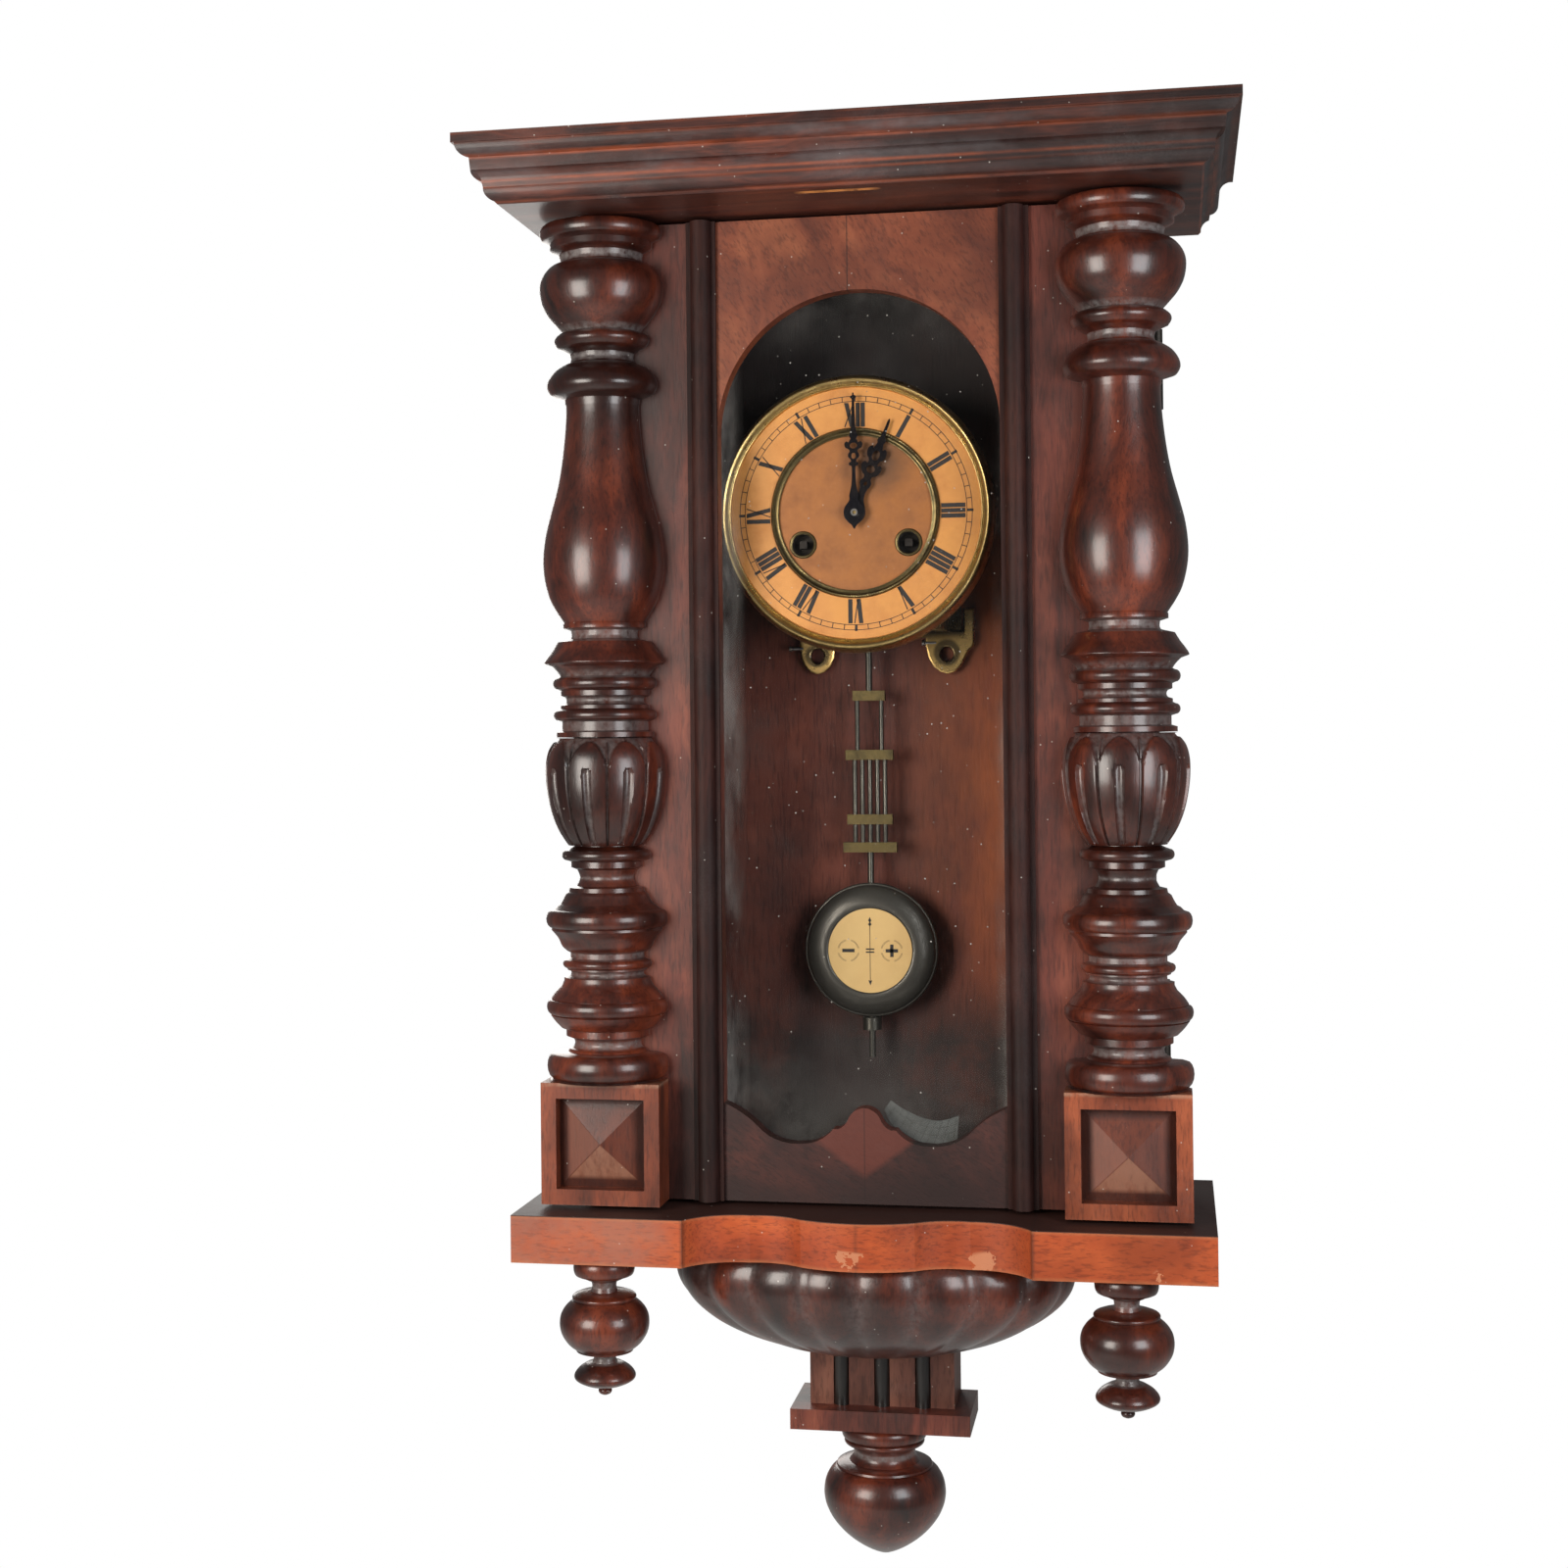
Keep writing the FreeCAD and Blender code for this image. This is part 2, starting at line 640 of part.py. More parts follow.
def make_door_frame():
    back = size.door_face - size.door_thickness
    bottom = size.door_foot_gap
    top = size.case_height - size.door_head_gap
    glass_half = size.opening_half_width + size.glass_lap
    rebate_front = size.door_face - size.rail_thickness
    for name, way in (("stile_left", -1), ("stile_right", 1)):
        outer = size.case_half_width * way
        inner = size.opening_half_width * way
        rebate = glass_half * way
        low, high = (outer, inner) if way < 0 else (inner, outer)
        room_low, room_high = (rebate, inner + size.overrun) if way < 0 else (inner - size.overrun, rebate)
        stile = block(low, high, back, size.door_face, bottom, top)
        room = block(room_low, room_high, back - size.overrun, rebate_front, bottom - size.overrun,
                     top + size.overrun)
        finish(cut(stile, room), name)

    rail = new_body("RailTop")
    half = size.opening_half_width
    crown = size.rail_top_spring + half
    points = [(half, top), (-half, top), (-half, size.rail_top_spring, -0.2071), (zero, crown, -0.2071),
              (half, size.rail_top_spring)]
    pad(rail, sketch_on(rail, "XZ_Plane", points), size.rail_thickness)
    put(rail, zero, -rebate_front, zero)
    finish(rail, "rail_top")

    rail = new_body("RailBottom")
    shoulder = size.rail_bottom_low_place * 1.7
    shoulder_height = size.rail_bottom_low + (size.rail_bottom_side - size.rail_bottom_low) * 0.42
    step_inner = size.rail_bottom_step_place
    step_outer = size.rail_bottom_step_place * 1.18
    right = [(half, bottom), (half, size.rail_bottom_side, 0.05), (shoulder, shoulder_height, -0.12),
             (size.rail_bottom_low_place, size.rail_bottom_low, -0.12), (step_outer, size.rail_bottom_step),
             (step_inner, size.rail_bottom_step, -0.12),
             (step_inner * 0.6, (size.rail_bottom_step + size.rail_bottom_hump) / 2, 0.14)]
    left = [(-step_inner * 0.6, (size.rail_bottom_step + size.rail_bottom_hump) / 2, -0.12),
            (-step_inner, size.rail_bottom_step), (-step_outer, size.rail_bottom_step, -0.12),
            (-size.rail_bottom_low_place, size.rail_bottom_low, -0.12), (-shoulder, shoulder_height, 0.05),
            (-half, size.rail_bottom_side), (-half, bottom)]
    crest = [(zero, size.rail_bottom_hump, 0.14)]
    pad(rail, sketch_on(rail, "XZ_Plane", right + crest + left), size.rail_thickness)
    put(rail, zero, -rebate_front, zero)
    finish(rail, "rail_bottom")

    finish(block(-glass_half, glass_half, rebate_front - size.glass_thickness, rebate_front, size.glass_margin,
                 top - size.glass_margin), "door_glass")
    beads = []
    for way in (-1, 1):
        middle = (size.opening_half_width + size.bead_width / 2) * way
        base = block(middle - size.bead_width / 2, middle + size.bead_width / 2, size.door_face,
                     size.door_face + size.bead_base, bottom, top)
        round_bar = bar(size.bead_radius, top - bottom, middle, size.door_face + size.bead_base, bottom, "up")
        hidden = block(middle - size.bead_radius, middle + size.bead_radius,
                       size.door_face + size.bead_base - size.bead_radius, size.door_face, bottom, top)
        beads.append(fuse(base, cut(round_bar, hidden)))
    finish(group_of(*beads), "door_beads")


def make_plinths():
    pair = []
    for way in (-1, 1):
        low, high = sorted((size.plinth_inner * way, size.plinth_outer * way), key=lambda length: length.value)
        solid = block(low, high, size.door_face, size.plinth_front, size.door_foot_gap, size.plinth_height)
        floor = size.plinth_front - size.plinth_recess_depth
        left, right = low + size.plinth_border, high - size.plinth_border
        foot, head = size.door_foot_gap + size.plinth_border, size.plinth_height - size.plinth_border
        recess = block(left, right, floor, size.plinth_front + size.overrun, foot, head)
        point = document.addObject("Part::Wedge", "Diamond")
        point.Placement.Rotation = FreeCAD.Rotation(FreeCAD.Vector(0, 0, 1), 180)
        bind(point, Xmin=zero, Xmax=right - left, Ymin=zero, Ymax=size.plinth_recess_depth, Zmin=zero,
             Zmax=head - foot, X2min=(right - left) * 0.499, X2max=(right - left) * 0.501,
             Z2min=(head - foot) * 0.499, Z2max=(head - foot) * 0.501)
        put(point, right, -floor, foot)
        pair.append(fuse(cut(solid, recess), point))
    finish(group_of(*pair), "plinth_blocks")


# The column from its foot to its head: shares of the column's height and of its widest radius.
column_shares = [
    (0.000, 0.95), (0.030, 0.97), (0.032, 0.65), (0.049, 0.54), (0.053, 0.67), (0.076, 0.93),
    (0.094, 0.97), (0.110, 0.74), (0.119, 0.70), (0.128, 0.59), (0.134, 0.72), (0.142, 0.60),
    (0.155, 0.73), (0.174, 0.91), (0.197, 0.97), (0.203, 0.80), (0.216, 0.67), (0.228, 0.47),
    (0.245, 0.48), (0.249, 0.58), (0.254, 0.58), (0.262, 0.72), (0.271, 0.58), (0.289, 0.75),
    (0.311, 0.88), (0.342, 0.96), (0.372, 0.96), (0.397, 0.80), (0.408, 0.70), (0.418, 0.70),
    (0.426, 0.84), (0.433, 0.72), (0.447, 0.63), (0.454, 0.72), (0.463, 0.84), (0.471, 0.72),
    (0.485, 0.97), (0.511, 0.77), (0.515, 0.55), (0.524, 0.54), (0.528, 0.67), (0.547, 0.78),
    (0.585, 0.96), (0.608, 0.98), (0.644, 0.91), (0.692, 0.74), (0.753, 0.62), (0.796, 0.61),
    (0.806, 0.88), (0.819, 0.87), (0.836, 0.62), (0.844, 0.51), (0.863, 0.77), (0.874, 0.62),
    (0.893, 0.85), (0.920, 0.99), (0.941, 0.95), (0.954, 0.68), (0.967, 0.69), (0.972, 0.83),
    (0.981, 0.88), (0.990, 0.99), (1.000, 0.95),
]


def make_columns():
    foot = size.plinth_height
    tall = size.case_height - size.door_head_gap - foot
    points = [(zero, zero)]
    points += [(size.column_radius * wide, tall * up) for up, wide in column_shares]
    points.append((zero, tall))
    for name, way in (("column_left", -1), ("column_right", 1)):
        turned(name, points, size.column_place * way, size.door_face, foot, 180.0)


def make_door_metal():
    back = size.door_face - size.door_thickness
    outer = size.case_half_width
    pin_x = outer + size.hinge_leaf_thickness + size.hinge_knuckle_radius + size.flat_gap
    pin_depth = back - size.door_gap / 2
    door_parts = []
    case_parts = []
    for foot in (size.hinge_low, size.hinge_high):
        third = size.hinge_height / 3
        gap = size.flat_gap / 2
        reach = size.hinge_leaf_width
        bore = size.hinge_pin_radius + size.hinge_pin_clearance
        leaf = block(outer, outer + size.hinge_leaf_thickness, pin_depth + size.door_gap / 2, pin_depth + reach,
                     foot, foot + size.hinge_height)
        wing = block(outer, pin_x, pin_depth + size.door_gap / 2,
                     pin_depth + size.door_gap / 2 + size.hinge_leaf_thickness, foot + third + gap,
                     foot + third * 2 - gap)
        knuckle = bar(size.hinge_knuckle_radius, third - gap * 2, pin_x, pin_depth, foot + third + gap, "up")
        hole = bar(bore, size.hinge_height + size.overrun * 2, pin_x, pin_depth, foot - size.overrun, "up")
        door_room = block(outer - size.overrun, outer, pin_depth - reach, pin_depth + reach, foot - size.overrun,
                          foot + size.hinge_height + size.overrun)
        door_parts.append(cut(fuse(leaf, wing, knuckle), hole, door_room))
        leaf = block(outer, outer + size.hinge_leaf_thickness, pin_depth - reach, pin_depth - size.door_gap / 2,
                     foot, foot + size.hinge_height)
        shapes = [leaf]
        for low in (foot, foot + third * 2 + gap):
            shapes.append(bar(size.hinge_knuckle_radius, third - gap, pin_x, pin_depth, low, "up"))
            shapes.append(block(outer, pin_x, pin_depth - size.door_gap / 2 - size.hinge_leaf_thickness,
                                pin_depth - size.door_gap / 2, low, low + third - gap))
        shapes.append(bar(size.hinge_pin_radius, size.hinge_height + size.hinge_knuckle_radius, pin_x, pin_depth,
                          foot - size.hinge_knuckle_radius / 2, "up"))
        case_parts.append(fuse(*shapes))
    pin_reach = size.hook_stand_off * 2 + size.hook_thickness
    latch_depth = size.hook_pivot_depth + size.hook_reach
    pin = bar(size.hook_pin_radius, pin_reach, -outer - pin_reach, latch_depth, size.hook_height, "side")
    door_parts.append(pin)
    finish(group_of(*door_parts), "hinge_door_leaves")
    finish(group_of(*case_parts), "hinge_case_leaves")

    inner_x = -outer - size.hook_stand_off
    plate = block(inner_x - size.hook_thickness, inner_x, size.hook_pivot_depth - size.hook_width / 2,
                  size.hook_pivot_depth + size.hook_width / 2,
                  size.hook_height - size.hook_reach - size.hook_width, size.hook_height)
    eye = bar(size.hook_width * 0.7, size.hook_thickness, inner_x - size.hook_thickness, size.hook_pivot_depth,
              size.hook_height, "side")
    room = size.hook_pin_radius + size.hook_notch_clearance
    notch_height = size.hook_height - size.hook_reach
    notch = bar(room, size.hook_thickness * 3, inner_x - size.hook_thickness * 2, size.hook_pivot_depth,
                notch_height, "side")
    mouth = block(inner_x - size.hook_thickness * 2, inner_x + size.hook_thickness,
                  size.hook_pivot_depth - size.hook_width, size.hook_pivot_depth, notch_height - room,
                  notch_height + room)
    screw = bar(size.hook_pin_radius, size.hook_stand_off + size.hook_thickness, inner_x - size.hook_thickness,
                size.hook_pivot_depth, size.hook_height, "side")
    head = bar(size.hook_width * 0.55, size.hook_thickness * 0.6,
               inner_x - size.hook_thickness * 1.6, size.hook_pivot_depth, size.hook_height, "side")
    finish(fuse(cut(fuse(plate, eye), notch, mouth), screw, head), "door_hook")


# The rest of the clockwork is drawn from the front: x to the right and z up from the centre arbor.
place_x = size.movement_place.value
place_z = size.dial_height.value
inside_face = (size.plate_depth - size.plate_thickness).value
back_plate_front = inside_face - size.plate_space.value
full_turn = 2 * math.pi


def number_of(alias):
    return getattr(size, alias).value


def polar(centre, radius, angle):
    return (centre[0] + radius * math.cos(angle), centre[1] + radius * math.sin(angle))


def meeting_place(first, second, first_reach, second_reach, side):
    apart = math.dist(first, second)
    along = (first_reach ** 2 - second_reach ** 2 + apart ** 2) / (2 * apart)
    aside = math.sqrt(first_reach ** 2 - along ** 2) * side
    unit = ((second[0] - first[0]) / apart, (second[1] - first[1]) / apart)
    return (first[0] + unit[0] * along + unit[1] * aside, first[1] + unit[1] * along - unit[0] * aside)


tooth_counts = {"barrel": 64, "centre_pinion": 8, "centre": 60, "third_pinion": 6, "third": 52, "escape_pinion": 6,
                "escape": 36, "pin_pinion": 8, "pin": 48, "warning_pinion": 6, "warning": 42, "fly_pinion": 6,
                "cannon": 10, "minute": 30, "minute_pinion": 8, "hour": 32, "ratchet": 12}
lift_pins = 8
warning_bearing = 110  # degrees up from the right, seen from the front
fly_bearing = 20


def gear_reach(module, wheel, leaf):
    return number_of(module) * (tooth_counts[wheel] + tooth_counts[leaf]) / 2


centre_at = (0.0, 0.0)
going_at = (number_of("winding_half_spacing"), -number_of("winding_drop"))
strike_at = (-number_of("winding_half_spacing"), -number_of("winding_drop"))
barrel_reach = math.dist(centre_at, going_at)
barrel_module = 2 * barrel_reach / (tooth_counts["barrel"] + tooth_counts["centre_pinion"])
escape_at = (0.0, number_of("escape_height"))
anchor_at = (0.0, number_of("anchor_height"))
third_at = meeting_place(centre_at, escape_at, gear_reach("third_module", "centre", "third_pinion"),
                         gear_reach("escape_module", "third", "escape_pinion"), 1)
pin_at = polar(strike_at, barrel_reach, full_turn / 4)
warning_at = polar(pin_at, gear_reach("strike_module", "pin", "warning_pinion"), math.radians(warning_bearing))
fly_at = polar(warning_at, gear_reach("fly_module", "warning", "fly_pinion"), math.radians(fly_bearing))
minute_at = polar(centre_at, gear_reach("motion_module", "minute", "cannon"), -full_turn / 4)
hammer_at = (-number_of("hammer_side"), number_of("hammer_above"))
gong_at = (0.0, -number_of("gong_drop"))


def spot(at, depth):
    return FreeCAD.Vector(place_x + at[0], -depth, place_z + at[1])


def disc(at, depth, radius, thickness):
    return Part.makeCylinder(radius, thickness, spot(at, depth), FreeCAD.Vector(0, 1, 0))


def plate_of(corners, depth, thickness):
    points = [spot(corner, depth) for corner in corners]
    return Part.Face(Part.makePolygon(points + points[:1])).extrude(FreeCAD.Vector(0, thickness, 0))


# Tooth outlines: shares of the tooth pitch for half the width at the root and at the tip, and the
# height above and depth below the pitch circle in modules.
wheel_tooth = {"root": 0.24, "tip": 0.0, "above": 0.95, "below": 1.25}
leaf_tooth = {"root": 0.15, "tip": 0.10, "above": 0.8, "below": 1.3}
ratchet_tooth = {"root": 0.4, "tip": 0.0, "above": 0.8, "below": 0.8}


def tooth_radii(teeth, module, tooth):
    middle = teeth * module / 2
    return middle - module * tooth["below"], middle + module * tooth["above"]


def toothed(at, depth, thickness, teeth, module, tooth, phase):
    pitch = full_turn / teeth
    root, tip = tooth_radii(teeth, module, tooth)
    corners = []
    for number in range(teeth):
        middle = phase + pitch * number
        corners.append(polar(at, root, middle - pitch * tooth["root"]))
        if tooth["tip"]:
            corners.append(polar(at, tip, middle - pitch * tooth["tip"]))
            corners.append(polar(at, tip, middle + pitch * tooth["tip"]))
        else:
            corners.append(polar(at, tip, middle))
        corners.append(polar(at, root, middle + pitch * tooth["root"]))
    return plate_of(corners, depth, thickness)


def crossings(at, depth, thickness, hub, rim, arms, share):
    over = number_of("overrun")
    windows = []
    for number in range(arms):
        start = full_turn * (number + (1 - share) / 2) / arms
        end = full_turn * (number + (1 + share) / 2) / arms
        middle = (start + end) / 2
        outer = Part.Arc(spot(polar(at, rim, start), depth + over), spot(polar(at, rim, middle), depth + over),
                         spot(polar(at, rim, end), depth + over)).toShape()
        inner = Part.Arc(spot(polar(at, hub, end), depth + over), spot(polar(at, hub, middle), depth + over),
                         spot(polar(at, hub, start), depth + over)).toShape()
        lines = [Part.makeLine(outer.Vertexes[-1].Point, inner.Vertexes[0].Point),
                 Part.makeLine(inner.Vertexes[-1].Point, outer.Vertexes[0].Point)]
        wire = Part.Wire([outer, lines[0], inner, lines[1]])
        windows.append(Part.Face(wire).extrude(FreeCAD.Vector(0, thickness + over * 2, 0)))
    return windows


def bearing_angle(start, end):
    return math.atan2(end[1] - start[1], end[0] - start[0])


# A wheel has a tooth on the line to the pinion it meets, and the pinion has a gap there.
def wheel_phase(at, mate_at):
    return bearing_angle(at, mate_at)


def pinion_phase(at, mate_at, leaves):
    return bearing_angle(at, mate_at) + full_turn / leaves / 2


def crossed_wheel(at, layer_depth, teeth, module, mate_at, arms=5):
    thickness = number_of("wheel_thickness")
    root, tip = tooth_radii(teeth, module, wheel_tooth)
    wheel = toothed(at, layer_depth, thickness, teeth, module, wheel_tooth, wheel_phase(at, mate_at))
    hub = number_of("arbor_radius") * 2.6
    windows = crossings(at, layer_depth, thickness, hub, root - module * 2, arms, 0.72)
    return wheel.cut(Part.makeCompound(windows))


def pinion(at, layer_depth, leaves, module, mate_at):
    over = number_of("pinion_overhang")
    thickness = number_of("wheel_thickness") + over * 2
    return toothed(at, layer_depth + over, thickness, leaves, module, leaf_tooth, pinion_phase(at, mate_at, leaves))


def arbor(at, front_depth, back_depth, radius=None):
    return disc(at, front_depth, radius or number_of("arbor_radius"), front_depth - back_depth)


def layer(alias):
    return inside_face - number_of(alias)


def shaped(label, *solids):
    shape = solids[0]
    if len(solids) > 1:
        shape = shape.fuse(list(solids[1:])).removeSplitter()
    thing = document.addObject("Part::Feature", label)
    thing.Shape = shape
    return finish(thing, label)


front_end = number_of("plate_depth")
back_end = back_plate_front - number_of("plate_thickness")


def make_going_train():
    square = number_of("winding_square") / 2
    dial_front = front_end + number_of("dial_space") + number_of("dial_plate_thickness")
    for side, at, alias in (("going", going_at, "going_teeth_layer"), ("strike", strike_at, "strike_teeth_layer")):
        mate = centre_at if side == "going" else pin_at
        bore = number_of("barrel_arbor_radius") + number_of("pivot_clearance")
        teeth_depth = layer(alias)
        thickness = number_of("wheel_thickness") + number_of("pivot_clearance") * 8
        rim = toothed(at, teeth_depth, thickness, tooth_counts["barrel"], barrel_module, wheel_tooth,
                      wheel_phase(at, mate))
        drum = disc(at, teeth_depth - thickness, number_of("barrel_radius"), number_of("barrel_length"))
        hole = disc(at, teeth_depth + number_of("overrun"), bore, number_of("plate_space"))
        shaped(f"{side}_barrel", rim.fuse(drum).cut(hole))
        stem = arbor(at, front_end + number_of("flat_gap") * 2, back_end, number_of("barrel_arbor_radius"))
        key = plate_of([(at[0] - square, at[1] - square), (at[0] + square, at[1] - square),
                        (at[0] + square, at[1] + square), (at[0] - square, at[1] + square)],
                       dial_front - number_of("flat_gap"), dial_front - front_end)
        ratchet_module = number_of("ratchet_radius") * 2 / (tooth_counts["ratchet"] + 2)
        ratchet = toothed(at, front_end + number_of("flat_gap") + number_of("wheel_thickness"),
                          number_of("wheel_thickness"), tooth_counts["ratchet"], ratchet_module, ratchet_tooth, 0.0)
        shaped(f"{side}_arbor", stem, key, ratchet)

    centre = crossed_wheel(centre_at, layer("centre_layer"), tooth_counts["centre"], number_of("third_module"),
                           third_at)
    meets = layer("going_teeth_layer")
    centre_pinion = pinion(centre_at, meets, tooth_counts["centre_pinion"], barrel_module, going_at)
    front = front_end + number_of("dial_space") + number_of("minute_hand_height")
    shaped("centre_wheel", centre, centre_pinion, arbor(centre_at, front, back_end))
    third = crossed_wheel(third_at, layer("third_layer"), tooth_counts["third"], number_of("escape_module"),
                          escape_at, 4)
    third_pinion = pinion(third_at, layer("centre_layer"), tooth_counts["third_pinion"],
                          number_of("third_module"), centre_at)
    shaped("third_wheel", third, third_pinion, arbor(third_at, front_end, back_end))
    escape_pinion = pinion(escape_at, layer("third_layer"), tooth_counts["escape_pinion"],
                           number_of("escape_module"), third_at)
    shaped("escape_wheel", escape_wheel(), escape_pinion, arbor(escape_at, front_end, back_end))


# Escape teeth lean forward. At rest the wheel stands so that each pallet can dip between two teeth.
def escape_wheel():
    teeth = tooth_counts["escape"]
    pitch = full_turn / teeth
    tip = number_of("escape_radius")
    root = tip * 0.86
    start = full_turn / 4
    corners = []
    for number in range(teeth):
        middle = start + pitch * number
        corners.append(polar(escape_at, root, middle - pitch * 0.4))
        corners.append(polar(escape_at, tip, middle - pitch * 0.04))
        corners.append(polar(escape_at, tip, middle + pitch * 0.06))
        corners.append(polar(escape_at, root, middle + pitch * 0.02))
    depth = layer("escape_layer")
    thickness = number_of("wheel_thickness")
    wheel = plate_of(corners, depth, thickness)
    windows = crossings(escape_at, depth, thickness, number_of("arbor_radius") * 2.6, root * 0.84, 4, 0.74)
    return wheel.cut(Part.makeCompound(windows))


def pallet_place(side):
    span_angle = full_turn * 5.5 / tooth_counts["escape"]
    tip = number_of("escape_radius") + number_of("pallet_clearance")
    return polar(escape_at, tip, full_turn / 4 - span_angle * side)


def make_anchor():
    depth = layer("escape_layer") + number_of("pallet_lead")
    thickness = number_of("anchor_thickness")
    half = number_of("pallet_width") / 2
    shapes = [disc(anchor_at, depth, number_of("arbor_radius") * 2.4, thickness)]
    for side in (-1, 1):
        nose = pallet_place(side)
        inward = bearing_angle(nose, escape_at)
        across = inward + full_turn / 4
        heel = polar(nose, -number_of("escape_radius") * 0.36, inward)
        pallet = [polar(nose, half, across), polar(nose, -half, across), polar(heel, -half * 2.2, across),
                  polar(heel, half * 2.2, across)]
        shapes.append(plate_of(pallet, depth, thickness))
        arm_corners = [(0.0, anchor_at[1] - half * 4), (heel[0], heel[1] - half * 2),
                       (heel[0] + side * half * 2, heel[1]), (heel[0], heel[1] + half * 2),
                       (0.0, anchor_at[1] + half * 4)]
        shapes.append(plate_of(arm_corners, depth, thickness))
    crutch_depth = back_end - number_of("seat_gap")
    crutch_thickness = number_of("crutch_thickness")
    shapes.append(arbor(anchor_at, front_end, crutch_depth - crutch_thickness / 2))
    width = number_of("arbor_radius")
    length = number_of("crutch_length")
    shapes.append(disc(anchor_at, crutch_depth, width * 2, crutch_thickness))
    shapes.append(plate_of([(-width, anchor_at[1]), (-width, anchor_at[1] - length),
                            (width, anchor_at[1] - length), (width, anchor_at[1])], crutch_depth, crutch_thickness))
    fork = number_of("centre_rod_radius") + number_of("seat_gap")
    fork_height = width * 2
    low = anchor_at[1] - length
    for side in (-1, 1):
        near, far = side * fork, side * (fork + width)
        shapes.append(plate_of([(near, low), (far, low), (far, low + fork_height), (near, low + fork_height)],
                               crutch_depth, crutch_depth - number_of("pendulum_depth") + number_of("rod_radius")))
    shapes.append(plate_of([(-fork - width, low), (fork + width, low), (fork + width, low + fork_height),
                            (-fork - width, low + fork_height)], crutch_depth, crutch_thickness))
    shaped("anchor_and_crutch", *shapes)


def make_strike_train():
    wheel = crossed_wheel(pin_at, layer("escape_layer"), tooth_counts["pin"], number_of("strike_module"), warning_at,
                          4)
    wheel_pinion = pinion(pin_at, layer("strike_teeth_layer"), tooth_counts["pin_pinion"], barrel_module, strike_at)
    pins = []
    pin_front = layer("escape_layer") - number_of("wheel_thickness") / 2
    for number in range(lift_pins):
        place = polar(pin_at, number_of("lift_pin_circle"), full_turn * (number + 0.5) / lift_pins)
        pins.append(disc(place, pin_front, number_of("lift_pin_radius"),
                         number_of("lift_pin_length") + number_of("wheel_thickness") / 2))
    over = number_of("overrun")
    ring_half = number_of("lift_ring_half_width")
    ring_middle = number_of("lift_pin_circle")
    ring = disc(pin_at, layer("escape_layer"), ring_middle + ring_half, number_of("wheel_thickness")).cut(
        disc(pin_at, layer("escape_layer") + over, ring_middle - ring_half, over * 3))
    shaped("pin_wheel", wheel, ring, wheel_pinion, arbor(pin_at, front_end, back_end), *pins)
    wheel = crossed_wheel(warning_at, layer("warning_layer"), tooth_counts["warning"], number_of("fly_module"),
                          fly_at, 4)
    leaf = pinion(warning_at, layer("escape_layer"), tooth_counts["warning_pinion"], number_of("strike_module"),
                  pin_at)
    shaped("warning_wheel", wheel, leaf, arbor(warning_at, front_end, back_end))
    leaf = pinion(fly_at, layer("warning_layer"), tooth_counts["fly_pinion"], number_of("fly_module"), warning_at)
    vane_depth = layer("fly_layer")
    half = number_of("wheel_thickness") / 4
    reach = number_of("fly_radius")
    vane = plate_of([(fly_at[0] - reach, fly_at[1] - half), (fly_at[0] + reach, fly_at[1] - half),
                     (fly_at[0] + reach, fly_at[1] + half), (fly_at[0] - reach, fly_at[1] + half)], vane_depth,
                    number_of("fly_length"))
    shaped("fly", leaf, vane, arbor(fly_at, front_end, back_end))


def make_hammer():
    shaft_depth = back_end - number_of("hammer_stand_off")
    width = number_of("arbor_radius")
    head_radius = number_of("hammer_head_radius")
    head_x = gong_at[0] - number_of("gong_radius") - number_of("gong_wire") - number_of("seat_gap") * 2
    head_z = gong_at[1]
    head_length = number_of("hammer_head_length")
    head = Part.makeCylinder(head_radius, head_length,
                             spot((head_x - head_length, head_z), number_of("gong_depth")), FreeCAD.Vector(1, 0, 0))
    middle_x = head_x - head_length / 2
    shaft = plate_of([(hammer_at[0] - width, hammer_at[1]), (middle_x - width, head_z),
                      (middle_x + width, head_z), (hammer_at[0] + width, hammer_at[1])], shaft_depth, width * 1.6)
    stem = arbor((middle_x, head_z), shaft_depth, number_of("gong_depth"), width)
    tail_depth = layer("escape_layer") - number_of("wheel_thickness") - number_of("seat_gap")
    toward = bearing_angle(hammer_at, pin_at)
    reach = math.dist(hammer_at, pin_at) - number_of("lift_pin_circle") - number_of("lift_pin_radius") * 2
    tip = polar(hammer_at, reach, toward)
    side = toward + full_turn / 4
    tail = plate_of([polar(hammer_at, width, side), polar(hammer_at, -width, side), polar(tip, -width / 3, side),
                     polar(tip, width / 3, side)], tail_depth, number_of("lift_pin_length"))
    shaped("hammer", arbor(hammer_at, front_end, shaft_depth - width), shaft, stem, head, tail)


def hole_in_plate(at, radius, front_depth):
    clear = radius + number_of("pivot_clearance")
    over = number_of("overrun")
    return disc(at, front_depth + over, clear, number_of("plate_thickness") + over * 2)


